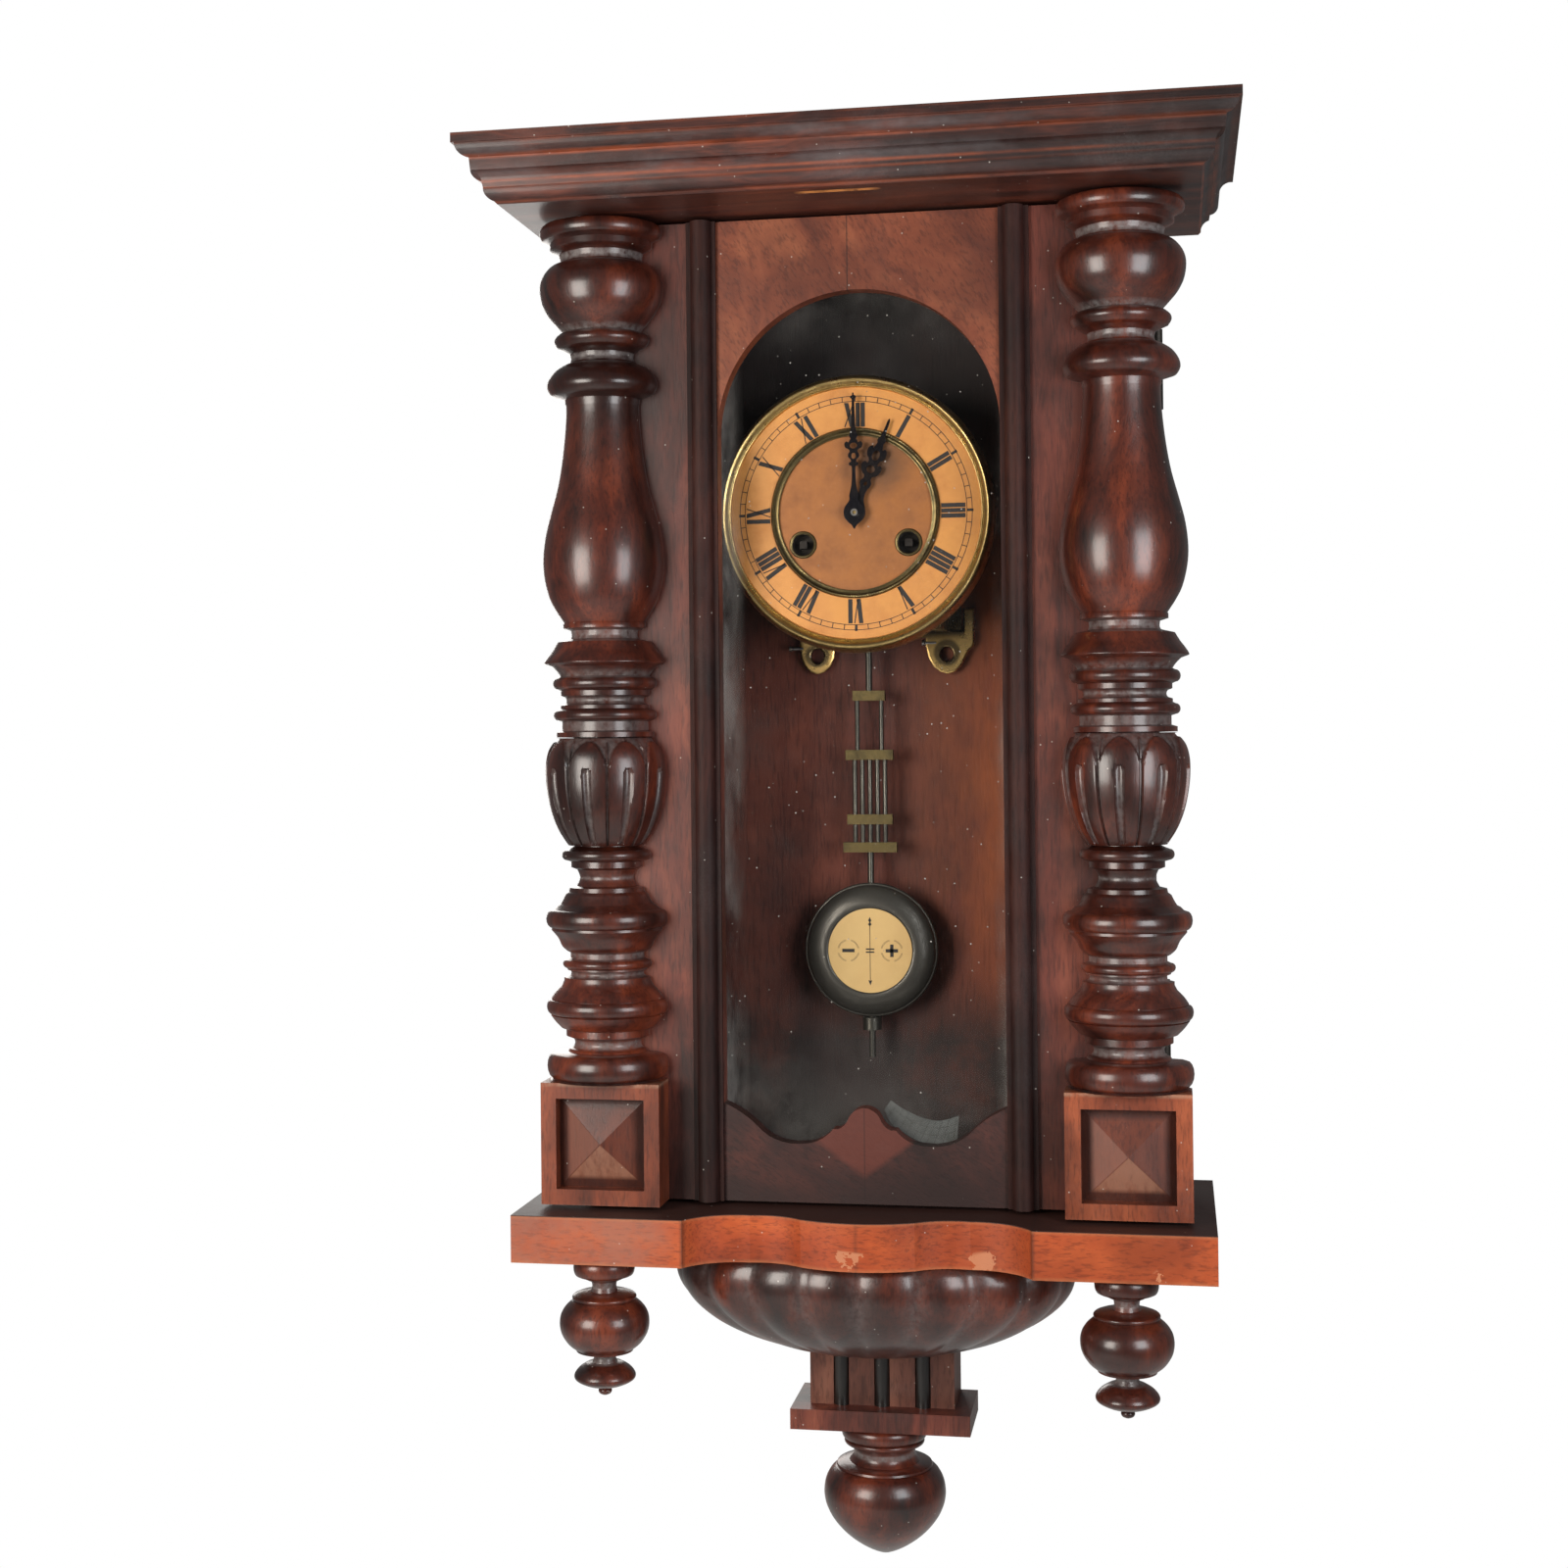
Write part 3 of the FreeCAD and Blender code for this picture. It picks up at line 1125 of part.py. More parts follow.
def make_plates():
    half_width = number_of("plate_half_width")
    half_height = number_of("plate_half_height")
    thickness = number_of("plate_thickness")
    thin = number_of("arbor_radius")
    thick = number_of("barrel_arbor_radius")
    places = [(centre_at, thin), (going_at, thick), (strike_at, thick), (third_at, thin), (escape_at, thin),
              (anchor_at, thin), (pin_at, thin), (warning_at, thin), (fly_at, thin), (hammer_at, thin)]
    corners = [(-half_width, -half_height), (half_width, -half_height), (half_width, half_height),
               (-half_width, half_height)]
    for label, depth in (("movement_front_plate", front_end), ("movement_back_plate", back_plate_front)):
        plate = plate_of(corners, depth, thickness)
        holes = [hole_in_plate(at, radius, depth) for at, radius in places]
        plate = plate.cut(Part.makeCompound(holes))
        if label == "movement_front_plate":
            plate = plate.fuse(clicks() + [minute_post()])
        shaped(label, plate)
    inset = number_of("pillar_inset")
    pillars = []
    for x in (-half_width + inset, half_width - inset):
        for z in (-half_height + inset, half_height - inset):
            pillars.append(disc((x, z), inside_face, number_of("pillar_radius"), number_of("plate_space")))
    thing = document.addObject("Part::Feature", "Pillars")
    thing.Shape = Part.makeCompound(pillars)
    finish(thing, "plate_pillars")


# Each click stands just clear of its ratchet's tips and is riveted to the front plate.
def clicks():
    made = []
    for at in (going_at, strike_at):
        side = 1 if at[0] > 0 else -1
        ratchet = number_of("ratchet_radius")
        clear = ratchet + number_of("seat_gap") * 2
        depth = front_end + number_of("flat_gap") + number_of("wheel_thickness")
        top = at[1] + clear
        corners = [(at[0], top), (at[0] + side * ratchet, top + ratchet * 0.15),
                   (at[0] + side * ratchet, top + ratchet * 0.55), (at[0], top + ratchet * 0.18)]
        made.append(plate_of(corners, depth, depth - front_end))
    return made


def minute_post():
    reach = number_of("dial_space") - number_of("flat_gap")
    return disc(minute_at, front_end + reach, number_of("arbor_radius"), reach)


def make_motion_work():
    module = number_of("motion_module")
    thickness = number_of("wheel_thickness") * 0.8
    gap = number_of("flat_gap")
    clear = number_of("pivot_clearance")
    cannon_bore = number_of("arbor_radius") + clear
    pipe_bore = number_of("cannon_radius") + clear
    first = front_end + gap * 3
    dial_front = front_end + number_of("dial_space") + number_of("dial_plate_thickness")
    minute_front = dial_front + number_of("minute_hand_height")
    hour_front = dial_front + number_of("hour_hand_height")
    thick_pinion = thickness + gap * 2
    cannon = toothed(centre_at, first + thick_pinion, thick_pinion, tooth_counts["cannon"], module, leaf_tooth,
                     pinion_phase(centre_at, minute_at, tooth_counts["cannon"]))
    pipe = disc(centre_at, minute_front, number_of("cannon_radius"), minute_front - first)
    over = number_of("overrun")
    hole = disc(centre_at, minute_front + over, cannon_bore, minute_front)
    shaped("cannon_pinion", cannon.fuse(pipe).cut(hole))
    wheel = toothed(minute_at, first + gap + thickness, thickness, tooth_counts["minute"], module, wheel_tooth,
                    wheel_phase(minute_at, centre_at))
    second = first + thick_pinion + gap
    leaf = toothed(minute_at, second + thick_pinion, second + thick_pinion - first - gap,
                   tooth_counts["minute_pinion"], module, leaf_tooth,
                   pinion_phase(minute_at, centre_at, tooth_counts["minute_pinion"]))
    hole = disc(minute_at, front_end + number_of("dial_space"), cannon_bore, number_of("dial_space"))
    shaped("minute_wheel", wheel.fuse(leaf).cut(hole))
    wheel = toothed(centre_at, second + gap + thickness, thickness, tooth_counts["hour"], module, wheel_tooth,
                    wheel_phase(centre_at, minute_at))
    pipe = disc(centre_at, hour_front, number_of("hour_pipe_radius"), hour_front - second - gap)
    hole = disc(centre_at, hour_front + over, pipe_bore, hour_front)
    shaped("hour_wheel", wheel.fuse(pipe).cut(hole))


def winding_holes(front_depth, radius):
    over = number_of("overrun")
    return [disc(at, front_depth + over, radius, over * 2) for at in (going_at, strike_at)]


# A ring or disc of the dial, turned about the centre arbor from (radius, height) points.
def dial_turning(points, base_depth):
    corners = [spot((radius, 0), base_depth + height) for radius, height in points]
    face = Part.Face(Part.makePolygon(corners + corners[:1]))
    return face.revolve(spot((0, 0), base_depth), FreeCAD.Vector(0, 1, 0), 360)


# Rings: shares of the ring's width outward from its inner edge, and of its height.
outer_bezel_shares = [(0, 0), (0, 0.25), (0.3, 0.6), (0.6, 1.0), (0.86, 0.86), (1.0, 0.5), (1.0, 0)]
inner_bezel_shares = [(0, 0), (0, 0.4), (0.5, 1.0), (1.0, 0.4), (1.0, 0)]


def make_dial():
    base = front_end + number_of("dial_space")
    thickness = number_of("dial_plate_thickness")
    front = base + thickness
    plate = disc(centre_at, front, number_of("dial_plate_radius"), thickness)
    over = number_of("overrun")
    holes = [disc(centre_at, front + over, number_of("hand_hole_radius"), over * 2)]
    holes += winding_holes(front, number_of("winding_hole_radius"))
    plate = plate.cut(Part.makeCompound(holes))
    feet = []
    reach = number_of("plate_half_width") - number_of("pillar_inset")
    for x, z in ((-reach, number_of("plate_half_height") / 2), (reach, number_of("plate_half_height") / 2),
                 (reach * 0.4, -number_of("plate_half_height") * 0.9)):
        feet.append(disc((x, z), base, number_of("arbor_radius") * 1.4, number_of("dial_space")))
    shaped("dial_plate", plate, *feet)
    chapter = disc(centre_at, front + number_of("chapter_thickness"), number_of("chapter_radius"),
                   number_of("chapter_thickness"))
    room = disc(centre_at, front + over, number_of("chapter_inner_radius"), over * 2)
    shaped("chapter_ring", chapter.cut(room))
    middle = disc(centre_at, front + number_of("chapter_thickness") / 2, number_of("centre_disc_radius"),
                  number_of("chapter_thickness") / 2)
    shaped("centre_disc", middle.cut(Part.makeCompound(holes)))
    inner = number_of("chapter_radius")
    wide = number_of("bezel_radius") - inner
    points = [(inner + wide * out, -number_of("chapter_thickness") * 2 + (number_of("bezel_height")
               + number_of("chapter_thickness") * 2) * up) for out, up in outer_bezel_shares]
    outer_ring = dial_turning(points, front)
    outer_ring = outer_ring.cut(disc(centre_at, front, number_of("dial_plate_radius"), thickness * 3))
    inner = number_of("centre_disc_radius")
    wide = number_of("inner_bezel_radius") - inner
    points = [(inner + wide * out, number_of("chapter_thickness") + number_of("inner_bezel_height") * up)
              for out, up in inner_bezel_shares]
    inner_ring = dial_turning(points, front)
    lip = disc(centre_at, front + number_of("chapter_thickness"), number_of("chapter_inner_radius"),
               number_of("chapter_thickness")).cut(disc(centre_at, front + over, inner, over * 2))
    thing = document.addObject("Part::Feature", "Bezels")
    thing.Shape = Part.makeCompound([outer_ring, inner_ring.fuse(lip)])
    finish(thing, "dial_bezels")


# One side of each hand: shares of its length along it and of its half width beside it.
hour_hand_shares = [(0.0, 0.62), (0.1, 0.62), (0.16, 0.3), (0.27, 0.34), (0.36, 0.9), (0.44, 1.0), (0.5, 0.62),
                    (0.56, 0.3), (0.64, 0.62), (0.7, 0.5), (0.76, 0.24), (0.86, 0.2), (1.0, 0.02)]
minute_hand_shares = [(0.0, 0.62), (0.08, 0.62), (0.14, 0.26), (0.26, 0.3), (0.34, 0.72), (0.41, 0.8), (0.47, 0.5),
                      (0.53, 0.24), (0.61, 0.46), (0.66, 0.36), (0.72, 0.2), (0.86, 0.17), (1.0, 0.02)]
hour_hand_turn = 21.5  # degrees clockwise from twelve
tail_share = 2.4  # the tail's length, as a share of the boss
tail_half_share = 0.5
eye_share = 0.41  # the eye's place, as a share of the hand's length
eye_radius_share = 0.42


def hand(shares, length, half_width, depth, bore, hub, turn):
    heading = math.radians(turn)

    def swung(points):
        return [(x * math.cos(heading) + z * math.sin(heading), z * math.cos(heading) - x * math.sin(heading))
                for x, z in points]

    thickness = number_of("hand_thickness")
    right = [(half_width * wide, length * along) for along, wide in shares]
    left = [(-x, z) for x, z in reversed(right)]
    blade = plate_of(swung(right + left), depth, thickness)
    tail = plate_of(swung([(-hub * tail_half_share, zero.value), (zero.value, -hub * tail_share),
                           (hub * tail_half_share, zero.value)]), depth, thickness)
    boss = disc(centre_at, depth, hub, thickness)
    eye = swung([(zero.value, length * eye_share)])[0]
    window = disc(eye, depth + thickness, half_width * eye_radius_share, thickness * 3)
    hole = disc(centre_at, depth + thickness, bore, thickness * 3)
    return blade.fuse([tail, boss]).cut(Part.makeCompound([window, hole])).removeSplitter()


def make_hands():
    dial_front = front_end + number_of("dial_space") + number_of("dial_plate_thickness")
    hour = dial_front + number_of("hour_hand_height")
    minute = dial_front + number_of("minute_hand_height")
    half_width = number_of("cannon_radius") * 3.2
    hub = number_of("hour_pipe_radius") * 2
    shaped("hour_hand", hand(hour_hand_shares, number_of("hour_hand_length"), half_width, hour,
                             number_of("hour_pipe_radius"), hub, hour_hand_turn))
    hub = number_of("hour_pipe_radius") * 1.6
    shaped("minute_hand", hand(minute_hand_shares, number_of("minute_hand_length"), half_width, minute,
                               number_of("cannon_radius"), hub, 0))


def make_bracket():
    spacing = number_of("bracket_half_spacing")
    arm = number_of("bracket_arm_width") / 2
    back = number_of("backboard_thickness")
    thickness = number_of("bracket_thickness")
    under = -number_of("plate_half_height")
    low = under - number_of("bracket_arm_height")
    shift = -place_x
    plate_low = low - number_of("bracket_plate_height") * 0.4
    half = number_of("bracket_half_width")
    plate = plate_of([(shift - half, plate_low), (shift + half, plate_low),
                      (shift + half, plate_low + number_of("bracket_plate_height")),
                      (shift - half, plate_low + number_of("bracket_plate_height"))], back + thickness, thickness)
    shapes = []
    for side in (-1, 1):
        middle = shift + spacing * side
        shapes.append(plate_of([(middle - arm, low), (middle + arm, low), (middle + arm, under),
                                (middle - arm, under)], front_end, front_end - back))
        lug = number_of("lug_half_width")
        lug_front = back_plate_front + number_of("plate_thickness")
        lug_plate = plate_of([(middle - lug, low - number_of("lug_height")), (middle + lug,
                             low - number_of("lug_height")), (middle + lug, low), (middle - lug, low)],
                             lug_front, thickness)
        over = number_of("overrun")
        hole = disc((middle, low - number_of("lug_height") * 0.6), lug_front + over, thickness * 0.8, over * 2)
        shapes.append(lug_plate.cut(hole))
    shaped("movement_bracket", plate, *shapes)


gong_turns = 4
gong_arcs_per_turn = 4


def make_gong():
    depth = number_of("gong_depth")
    back = number_of("backboard_thickness")
    wire = number_of("gong_wire")
    block_radius = number_of("gong_block_radius")
    shaped("gong_block", disc(gong_at, depth + wire * 2, block_radius, depth + wire * 2 - back))
    step = (number_of("gong_radius") - block_radius) / (gong_turns * gong_arcs_per_turn)
    start = spot((gong_at[0] + block_radius, gong_at[1]), depth)
    edges = []
    radius = block_radius
    place = start
    for number in range(gong_turns * gong_arcs_per_turn):
        # Each quarter turn swings about a centre that steps outward, so the arcs join smoothly.
        angle = full_turn * number / gong_arcs_per_turn
        middle = place - FreeCAD.Vector(math.cos(angle), 0, math.sin(angle)) * radius
        middle_angle = angle + full_turn / gong_arcs_per_turn / 2
        end_angle = angle + full_turn / gong_arcs_per_turn
        halfway = middle + FreeCAD.Vector(math.cos(middle_angle), 0, math.sin(middle_angle)) * radius
        end = middle + FreeCAD.Vector(math.cos(end_angle), 0, math.sin(end_angle)) * radius
        edges.append(Part.Arc(place, halfway, end).toShape())
        place = end
        radius += step
    path = Part.Wire(edges)
    section = ((-wire, -wire), (wire, -wire), (wire, wire), (-wire, wire))
    corners = [start + FreeCAD.Vector(x, y, zero.value) for x, y in section]
    ring = Part.makePolygon(corners + corners[:1])
    coil = path.makePipeShell([ring], True, False)
    block_room = disc(gong_at, depth + wire * 3, block_radius, wire * 6)
    print("gong coil", round(coil.Volume), "of", round(path.Length * wire * wire * 4),
          "least gap between turns", round(step * gong_arcs_per_turn - wire * 2, 2))
    shaped("gong_coil", coil.cut(block_room))


def make_suspension():
    depth = number_of("pendulum_depth")
    width = number_of("spring_width") / 2
    thin = number_of("spring_thickness") / 2
    top = anchor_at[1] + number_of("spring_length") / 2
    low = top - number_of("spring_length")
    gap = number_of("seat_gap") * 2
    strip = plate_of([(-thin, low), (thin, low), (thin, top), (-thin, top)], depth + width, width * 2)
    clip_half = thin * 8
    clip = plate_of([(-clip_half, top - width), (clip_half, top - width), (clip_half, top), (-clip_half, top)],
                    depth + width / 2, width)
    shaped("suspension_spring", strip, clip)
    cheek = number_of("bracket_thickness")
    cheeks = []
    for side in (-1, 1):
        near, far = side * (clip_half + gap), side * (clip_half + gap + cheek)
        cheeks.append(plate_of([(near, top - width * 2), (far, top - width * 2), (far, top + gap + cheek),
                                (near, top + gap + cheek)], depth + width, width * 2))
    reach = clip_half + gap + cheek
    cheeks.append(plate_of([(-reach, top + gap), (reach, top + gap), (reach, top + gap + cheek),
                            (-reach, top + gap + cheek)], depth + width, width * 2))
    foot_low = number_of("plate_half_height") - number_of("crutch_thickness") * 2
    cheeks.append(plate_of([(-reach * 2, foot_low), (reach * 2, foot_low), (reach * 2, top + gap + cheek),
                            (-reach * 2, top + gap + cheek)], back_end, back_end - depth - width))
    shaped("suspension_cock", *cheeks)


def bar_centre(alias):
    return number_of(alias) - number_of("dial_height")


def rod(x, low, high, radius):
    return Part.makeCylinder(radius, high - low, spot((x, low), number_of("pendulum_depth")))


# The bob's rim from its back to its front: shares of its radius and of half its thickness.
bob_rim_shares = [(0.88, -0.55), (1.0, -0.2), (1.0, 0.2), (0.88, 0.55)]


def make_pendulum():
    depth = number_of("pendulum_depth")
    half_height = number_of("bar_half_height")
    half_depth = number_of("bar_half_depth")
    one, two, three, four = [bar_centre(f"bar_{name}") for name in ("one", "two", "three", "four")]
    wide = [number_of(f"bar_{name}_half_width") for name in ("one", "two", "three", "four")]
    bars = []
    for middle, half in zip((one, two, three, four), wide):
        bars.append(plate_of([(-half, middle - half_height), (half, middle - half_height),
                              (half, middle + half_height), (-half, middle + half_height)],
                             depth + half_depth, half_depth * 2))
    spring_low = anchor_at[1] - number_of("spring_length") / 2
    centre = number_of("centre_rod_radius")
    thin = number_of("rod_radius")
    pitch = number_of("rod_pitch")
    rods = [rod(0, one + half_height, spring_low, centre)]
    rods += [rod(pitch * 1.6 * side, two + half_height, one - half_height, thin) for side in (-1, 1)]
    for upper, lower in ((two, three), (three, four)):
        rods += [rod(pitch * place, lower + half_height, upper - half_height, thin) for place in (-2, -1, 0, 1, 2)]
    bob = bar_centre("bob_height")
    rods.append(rod(0, bob + number_of("bob_radius"), four - half_height, centre))
    end = bar_centre("rod_end")
    rods.append(rod(0, end, bob - number_of("bob_radius"), centre))
    thing = document.addObject("Part::Feature", "Rods")
    thing.Shape = Part.makeCompound(rods)
    finish(thing, "pendulum_rods")
    thing = document.addObject("Part::Feature", "Bars")
    thing.Shape = Part.makeCompound(bars)
    finish(thing, "pendulum_bars")

    radius = number_of("bob_radius")
    thick = number_of("bob_half_thickness")
    seat = number_of("bob_disc_radius")
    face_depth = thick - number_of("bob_disc_thickness")
    profile = [(zero.value, -thick), (seat, -thick)]
    profile += [(radius * wide, thick * out) for wide, out in bob_rim_shares]
    profile += [(seat, thick), (seat, face_depth), (zero.value, face_depth)]
    corners = [spot((x, bob), depth + y) for x, y in profile]
    face = Part.Face(Part.makePolygon(corners + corners[:1]))
    shaped("pendulum_bob", face.revolve(spot((0, bob), depth), FreeCAD.Vector(0, 1, 0), 360))
    shaped("bob_disc", disc((0, bob), depth + thick, seat, number_of("bob_disc_thickness")))
    nut_top = bob - radius - number_of("flat_gap")
    nut = Part.makeCylinder(number_of("nut_radius"), number_of("nut_height"),
                            spot((0, nut_top - number_of("nut_height")), depth))
    bore = Part.makeCylinder(centre + number_of("pivot_clearance"), number_of("nut_height") * 3,
                             spot((0, nut_top - number_of("nut_height") * 2), depth))
    shaped("rating_nut", nut.cut(bore))


makers = [make_case_boards, make_cornice, make_shelf, make_bowl, make_drop, make_finials, make_door_frame,
          make_plinths, make_columns, make_door_metal, make_going_train, make_anchor, make_strike_train,
          make_hammer, make_plates, make_motion_work, make_dial, make_hands, make_bracket, make_gong,
          make_suspension, make_pendulum]
for maker in makers:
    maker()
document.recompute()

faults = [thing.Label for thing in document.Objects if "Invalid" in thing.State or "Error" in thing.State]
faults += [label for label, piece in pieces.items() if piece.Shape.isNull() or not piece.Shape.isValid()]
if faults:
    raise SystemExit(f"these did not build: {faults}")
os.makedirs("parts", exist_ok=True)
for label, piece in pieces.items():
    piece.Shape.exportStep(f"parts/{label}.step")
print(len(pieces), "sub-parts written")
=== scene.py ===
import bpy
import bmesh
import json
import math
from mathutils import Matrix, Vector


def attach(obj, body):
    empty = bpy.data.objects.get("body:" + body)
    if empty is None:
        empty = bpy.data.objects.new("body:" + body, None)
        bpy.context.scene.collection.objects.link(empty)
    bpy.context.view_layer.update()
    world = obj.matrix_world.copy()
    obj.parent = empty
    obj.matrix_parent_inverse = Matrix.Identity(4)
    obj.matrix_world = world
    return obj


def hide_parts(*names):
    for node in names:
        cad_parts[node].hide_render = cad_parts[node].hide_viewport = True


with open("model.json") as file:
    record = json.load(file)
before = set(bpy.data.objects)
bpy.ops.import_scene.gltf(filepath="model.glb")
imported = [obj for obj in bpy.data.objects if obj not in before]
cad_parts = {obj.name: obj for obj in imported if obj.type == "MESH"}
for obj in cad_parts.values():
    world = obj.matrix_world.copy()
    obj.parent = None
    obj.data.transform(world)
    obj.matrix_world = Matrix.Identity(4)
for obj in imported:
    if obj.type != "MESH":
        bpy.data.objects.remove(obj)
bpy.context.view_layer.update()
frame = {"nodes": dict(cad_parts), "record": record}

parts = frame["nodes"]
print("stage: frame loaded")


# shader groups and materials
def newGroup(name, inputs, outputs):
    group = bpy.data.node_groups.new(name, "ShaderNodeTree")
    for label, kind, value in inputs:
        socket = group.interface.new_socket(name=label, in_out="INPUT", socket_type=kind)
        socket.default_value = value
    for label, kind in outputs:
        group.interface.new_socket(name=label, in_out="OUTPUT", socket_type=kind)
    start = group.nodes.new("NodeGroupInput")
    end = group.nodes.new("NodeGroupOutput")
    return group, start, end


def addNode(tree, kind, **values):
    node = tree.nodes.new(kind)
    for key, value in values.items():
        if hasattr(node, key) and key not in node.inputs:
            setattr(node, key, value)
        else:
            node.inputs[key].default_value = value
    return node


def limits(tree, value, low, high):
    # from low to high onto 0 to 1
    node = addNode(tree, "ShaderNodeMapRange")
    node.inputs["From Min"].default_value = low
    node.inputs["From Max"].default_value = high
    tree.links.new(value, node.inputs["Value"])
    return node.outputs[0]


def mathOf(tree, operation, *sources, clamp=True):
    node = addNode(tree, "ShaderNodeMath", operation=operation, use_clamp=clamp)
    for number, source in enumerate(sources):
        if isinstance(source, float):
            node.inputs[number].default_value = source
        else:
            tree.links.new(source, node.inputs[number])
    return node.outputs[0]


def multiply(tree, first, second):
    return mathOf(tree, "MULTIPLY", first, second)


def between(tree, share, low, high):
    # from 0 to 1 onto low to high
    node = addNode(tree, "ShaderNodeMapRange")
    node.inputs["To Min"].default_value = low
    node.inputs["To Max"].default_value = high
    tree.links.new(share, node.inputs["Value"])
    return node.outputs[0]


def scaled(tree, place, factors):
    # coordinates stretched or squeezed along each axis
    squeeze = addNode(tree, "ShaderNodeVectorMath", operation="MULTIPLY")
    squeeze.inputs[1].default_value = factors
    tree.links.new(place, squeeze.inputs[0])
    return squeeze.outputs[0]


def noiseOf(tree, place, **values):
    noise = addNode(tree, "ShaderNodeTexNoise", **values)
    tree.links.new(place, noise.inputs["Vector"])
    return noise


def distanceTo(tree, place, centre):
    apart = addNode(tree, "ShaderNodeVectorMath", operation="DISTANCE")
    apart.inputs[1].default_value = centre
    tree.links.new(place, apart.inputs[0])
    return apart.outputs["Value"]


def mixColour(tree, factor, first, second):
    mix = tree.nodes.new("ShaderNodeMix")
    mix.data_type = "RGBA"
    for source, socket in ((first, mix.inputs[6]), (second, mix.inputs[7])):
        if isinstance(source, (tuple, list)):
            socket.default_value = (*source[:3], 1.0)
        else:
            tree.links.new(source, socket)
    tree.links.new(factor, mix.inputs[0])
    return mix.outputs[2]


def tint(tree, colour, mask, strength, shade):
    # the shade is laid over the colour where the mask is, as strongly as told
    return mixColour(tree, multiply(tree, mask, strength), colour, shade)


def makeGrainGroup():
    # long grain along the group's own Z, after the material has turned the coordinates
    group, start, end = newGroup("woodGrain",
        [("Vector", "NodeSocketVector", (0, 0, 0)), ("Stretch", "NodeSocketFloat", 9.0),
         ("Rings", "NodeSocketFloat", 34.0), ("Figure", "NodeSocketFloat", 0.35)],
        [("Band", "NodeSocketFloat"), ("Pore", "NodeSocketFloat"), ("Cloud", "NodeSocketFloat")])
    place = start.outputs["Vector"]
    squeeze = addNode(group, "ShaderNodeVectorMath", operation="MULTIPLY")
    combine = addNode(group, "ShaderNodeCombineXYZ", X=1.0, Y=1.0)
    alongGrain = mathOf(group, "DIVIDE", 1.0, start.outputs["Stretch"], clamp=False)
    group.links.new(alongGrain, combine.inputs["Z"])
    group.links.new(place, squeeze.inputs[0])
    group.links.new(combine.outputs[0], squeeze.inputs[1])
    sway = noiseOf(group, place, Scale=9.0, Detail=3.0, Roughness=0.5)
    swayed = addNode(group, "ShaderNodeVectorMath", operation="SCALE")
    swing = mathOf(group, "MULTIPLY", start.outputs["Figure"], 0.1, clamp=False)
    group.links.new(sway.outputs["Color"], swayed.inputs[0])
    group.links.new(swing, swayed.inputs["Scale"])
    shifted = addNode(group, "ShaderNodeVectorMath", operation="ADD")
    group.links.new(squeeze.outputs[0], shifted.inputs[0])
    group.links.new(swayed.outputs[0], shifted.inputs[1])
    band = noiseOf(group, shifted.outputs[0], Detail=6.0, Roughness=0.62, Distortion=0.3)
    group.links.new(start.outputs["Rings"], band.inputs["Scale"])
    group.links.new(band.outputs["Fac"], end.inputs["Band"])
    pore = noiseOf(group, squeeze.outputs[0], Scale=620.0, Detail=2.0, Roughness=0.6)
    group.links.new(limits(group, pore.outputs["Fac"], 0.34, 0.50), end.inputs["Pore"])
    cloud = noiseOf(group, place, Scale=11.0, Detail=5.0, Roughness=0.6)
    group.links.new(cloud.outputs["Fac"], end.inputs["Cloud"])
    return group


def makeDustGroup():
    # a soft grey film in patches, and fine pale specks over it
    group, start, end = newGroup("dust",
        [("Vector", "NodeSocketVector", (0, 0, 0)), ("Film", "NodeSocketFloat", 0.3),
         ("Specks", "NodeSocketFloat", 0.6), ("Size", "NodeSocketFloat", 17.0)],
        [("Film", "NodeSocketFloat"), ("Speck", "NodeSocketFloat")])
    place = start.outputs["Vector"]
    patch = noiseOf(group, place, Detail=6.0, Roughness=0.66)
    group.links.new(start.outputs["Size"], patch.inputs["Scale"])
    grit = noiseOf(group, place, Scale=700.0, Detail=2.0, Roughness=0.7)
    patches = limits(group, patch.outputs["Fac"], 0.50, 0.76)
    film = multiply(group, patches, limits(group, grit.outputs["Fac"], 0.25, 0.7))
    group.links.new(multiply(group, film, start.outputs["Film"]), end.inputs["Film"])
    cells = addNode(group, "ShaderNodeTexVoronoi", Scale=210.0)
    group.links.new(place, cells.inputs["Vector"])
    near = limits(group, cells.outputs["Distance"], 0.12, 0.06)
    lot = addNode(group, "ShaderNodeTexWhiteNoise")
    group.links.new(cells.outputs["Color"], lot.inputs["Vector"])
    rare = limits(group, lot.outputs["Value"], 0.90, 0.91)  # about one cell in ten holds a speck
    specks = multiply(group, multiply(group, near, rare), start.outputs["Specks"])
    group.links.new(specks, end.inputs["Speck"])
    return group


def makeTarnishGroup():
    # tarnish, finger marks and fine scratches for metal
    group, start, end = newGroup("tarnish",
        [("Vector", "NodeSocketVector", (0, 0, 0)), ("Size", "NodeSocketFloat", 45.0),
         ("Contrast", "NodeSocketFloat", 1.0)],
        [("Mask", "NodeSocketFloat"), ("Scratch", "NodeSocketFloat")])
    place = start.outputs["Vector"]
    blotch = noiseOf(group, place, Detail=7.0, Roughness=0.68)
    group.links.new(start.outputs["Size"], blotch.inputs["Scale"])
    blotches = limits(group, blotch.outputs["Fac"], 0.40, 0.68)
    group.links.new(multiply(group, blotches, start.outputs["Contrast"]), end.inputs["Mask"])
    scratch = noiseOf(group, place, Scale=900.0, Detail=2.0)
    group.links.new(scratch.outputs["Fac"], end.inputs["Scratch"])
    return group


grainGroup = makeGrainGroup()
dustGroup = makeDustGroup()
tarnishGroup = makeTarnishGroup()


def blankMaterial(name):
    material = bpy.data.materials.new(name)
    material.use_nodes = True
    tree = material.node_tree
    place = tree.nodes.new("ShaderNodeTexCoord")
    return material, tree, tree.nodes["Principled BSDF"], place.outputs["Object"]


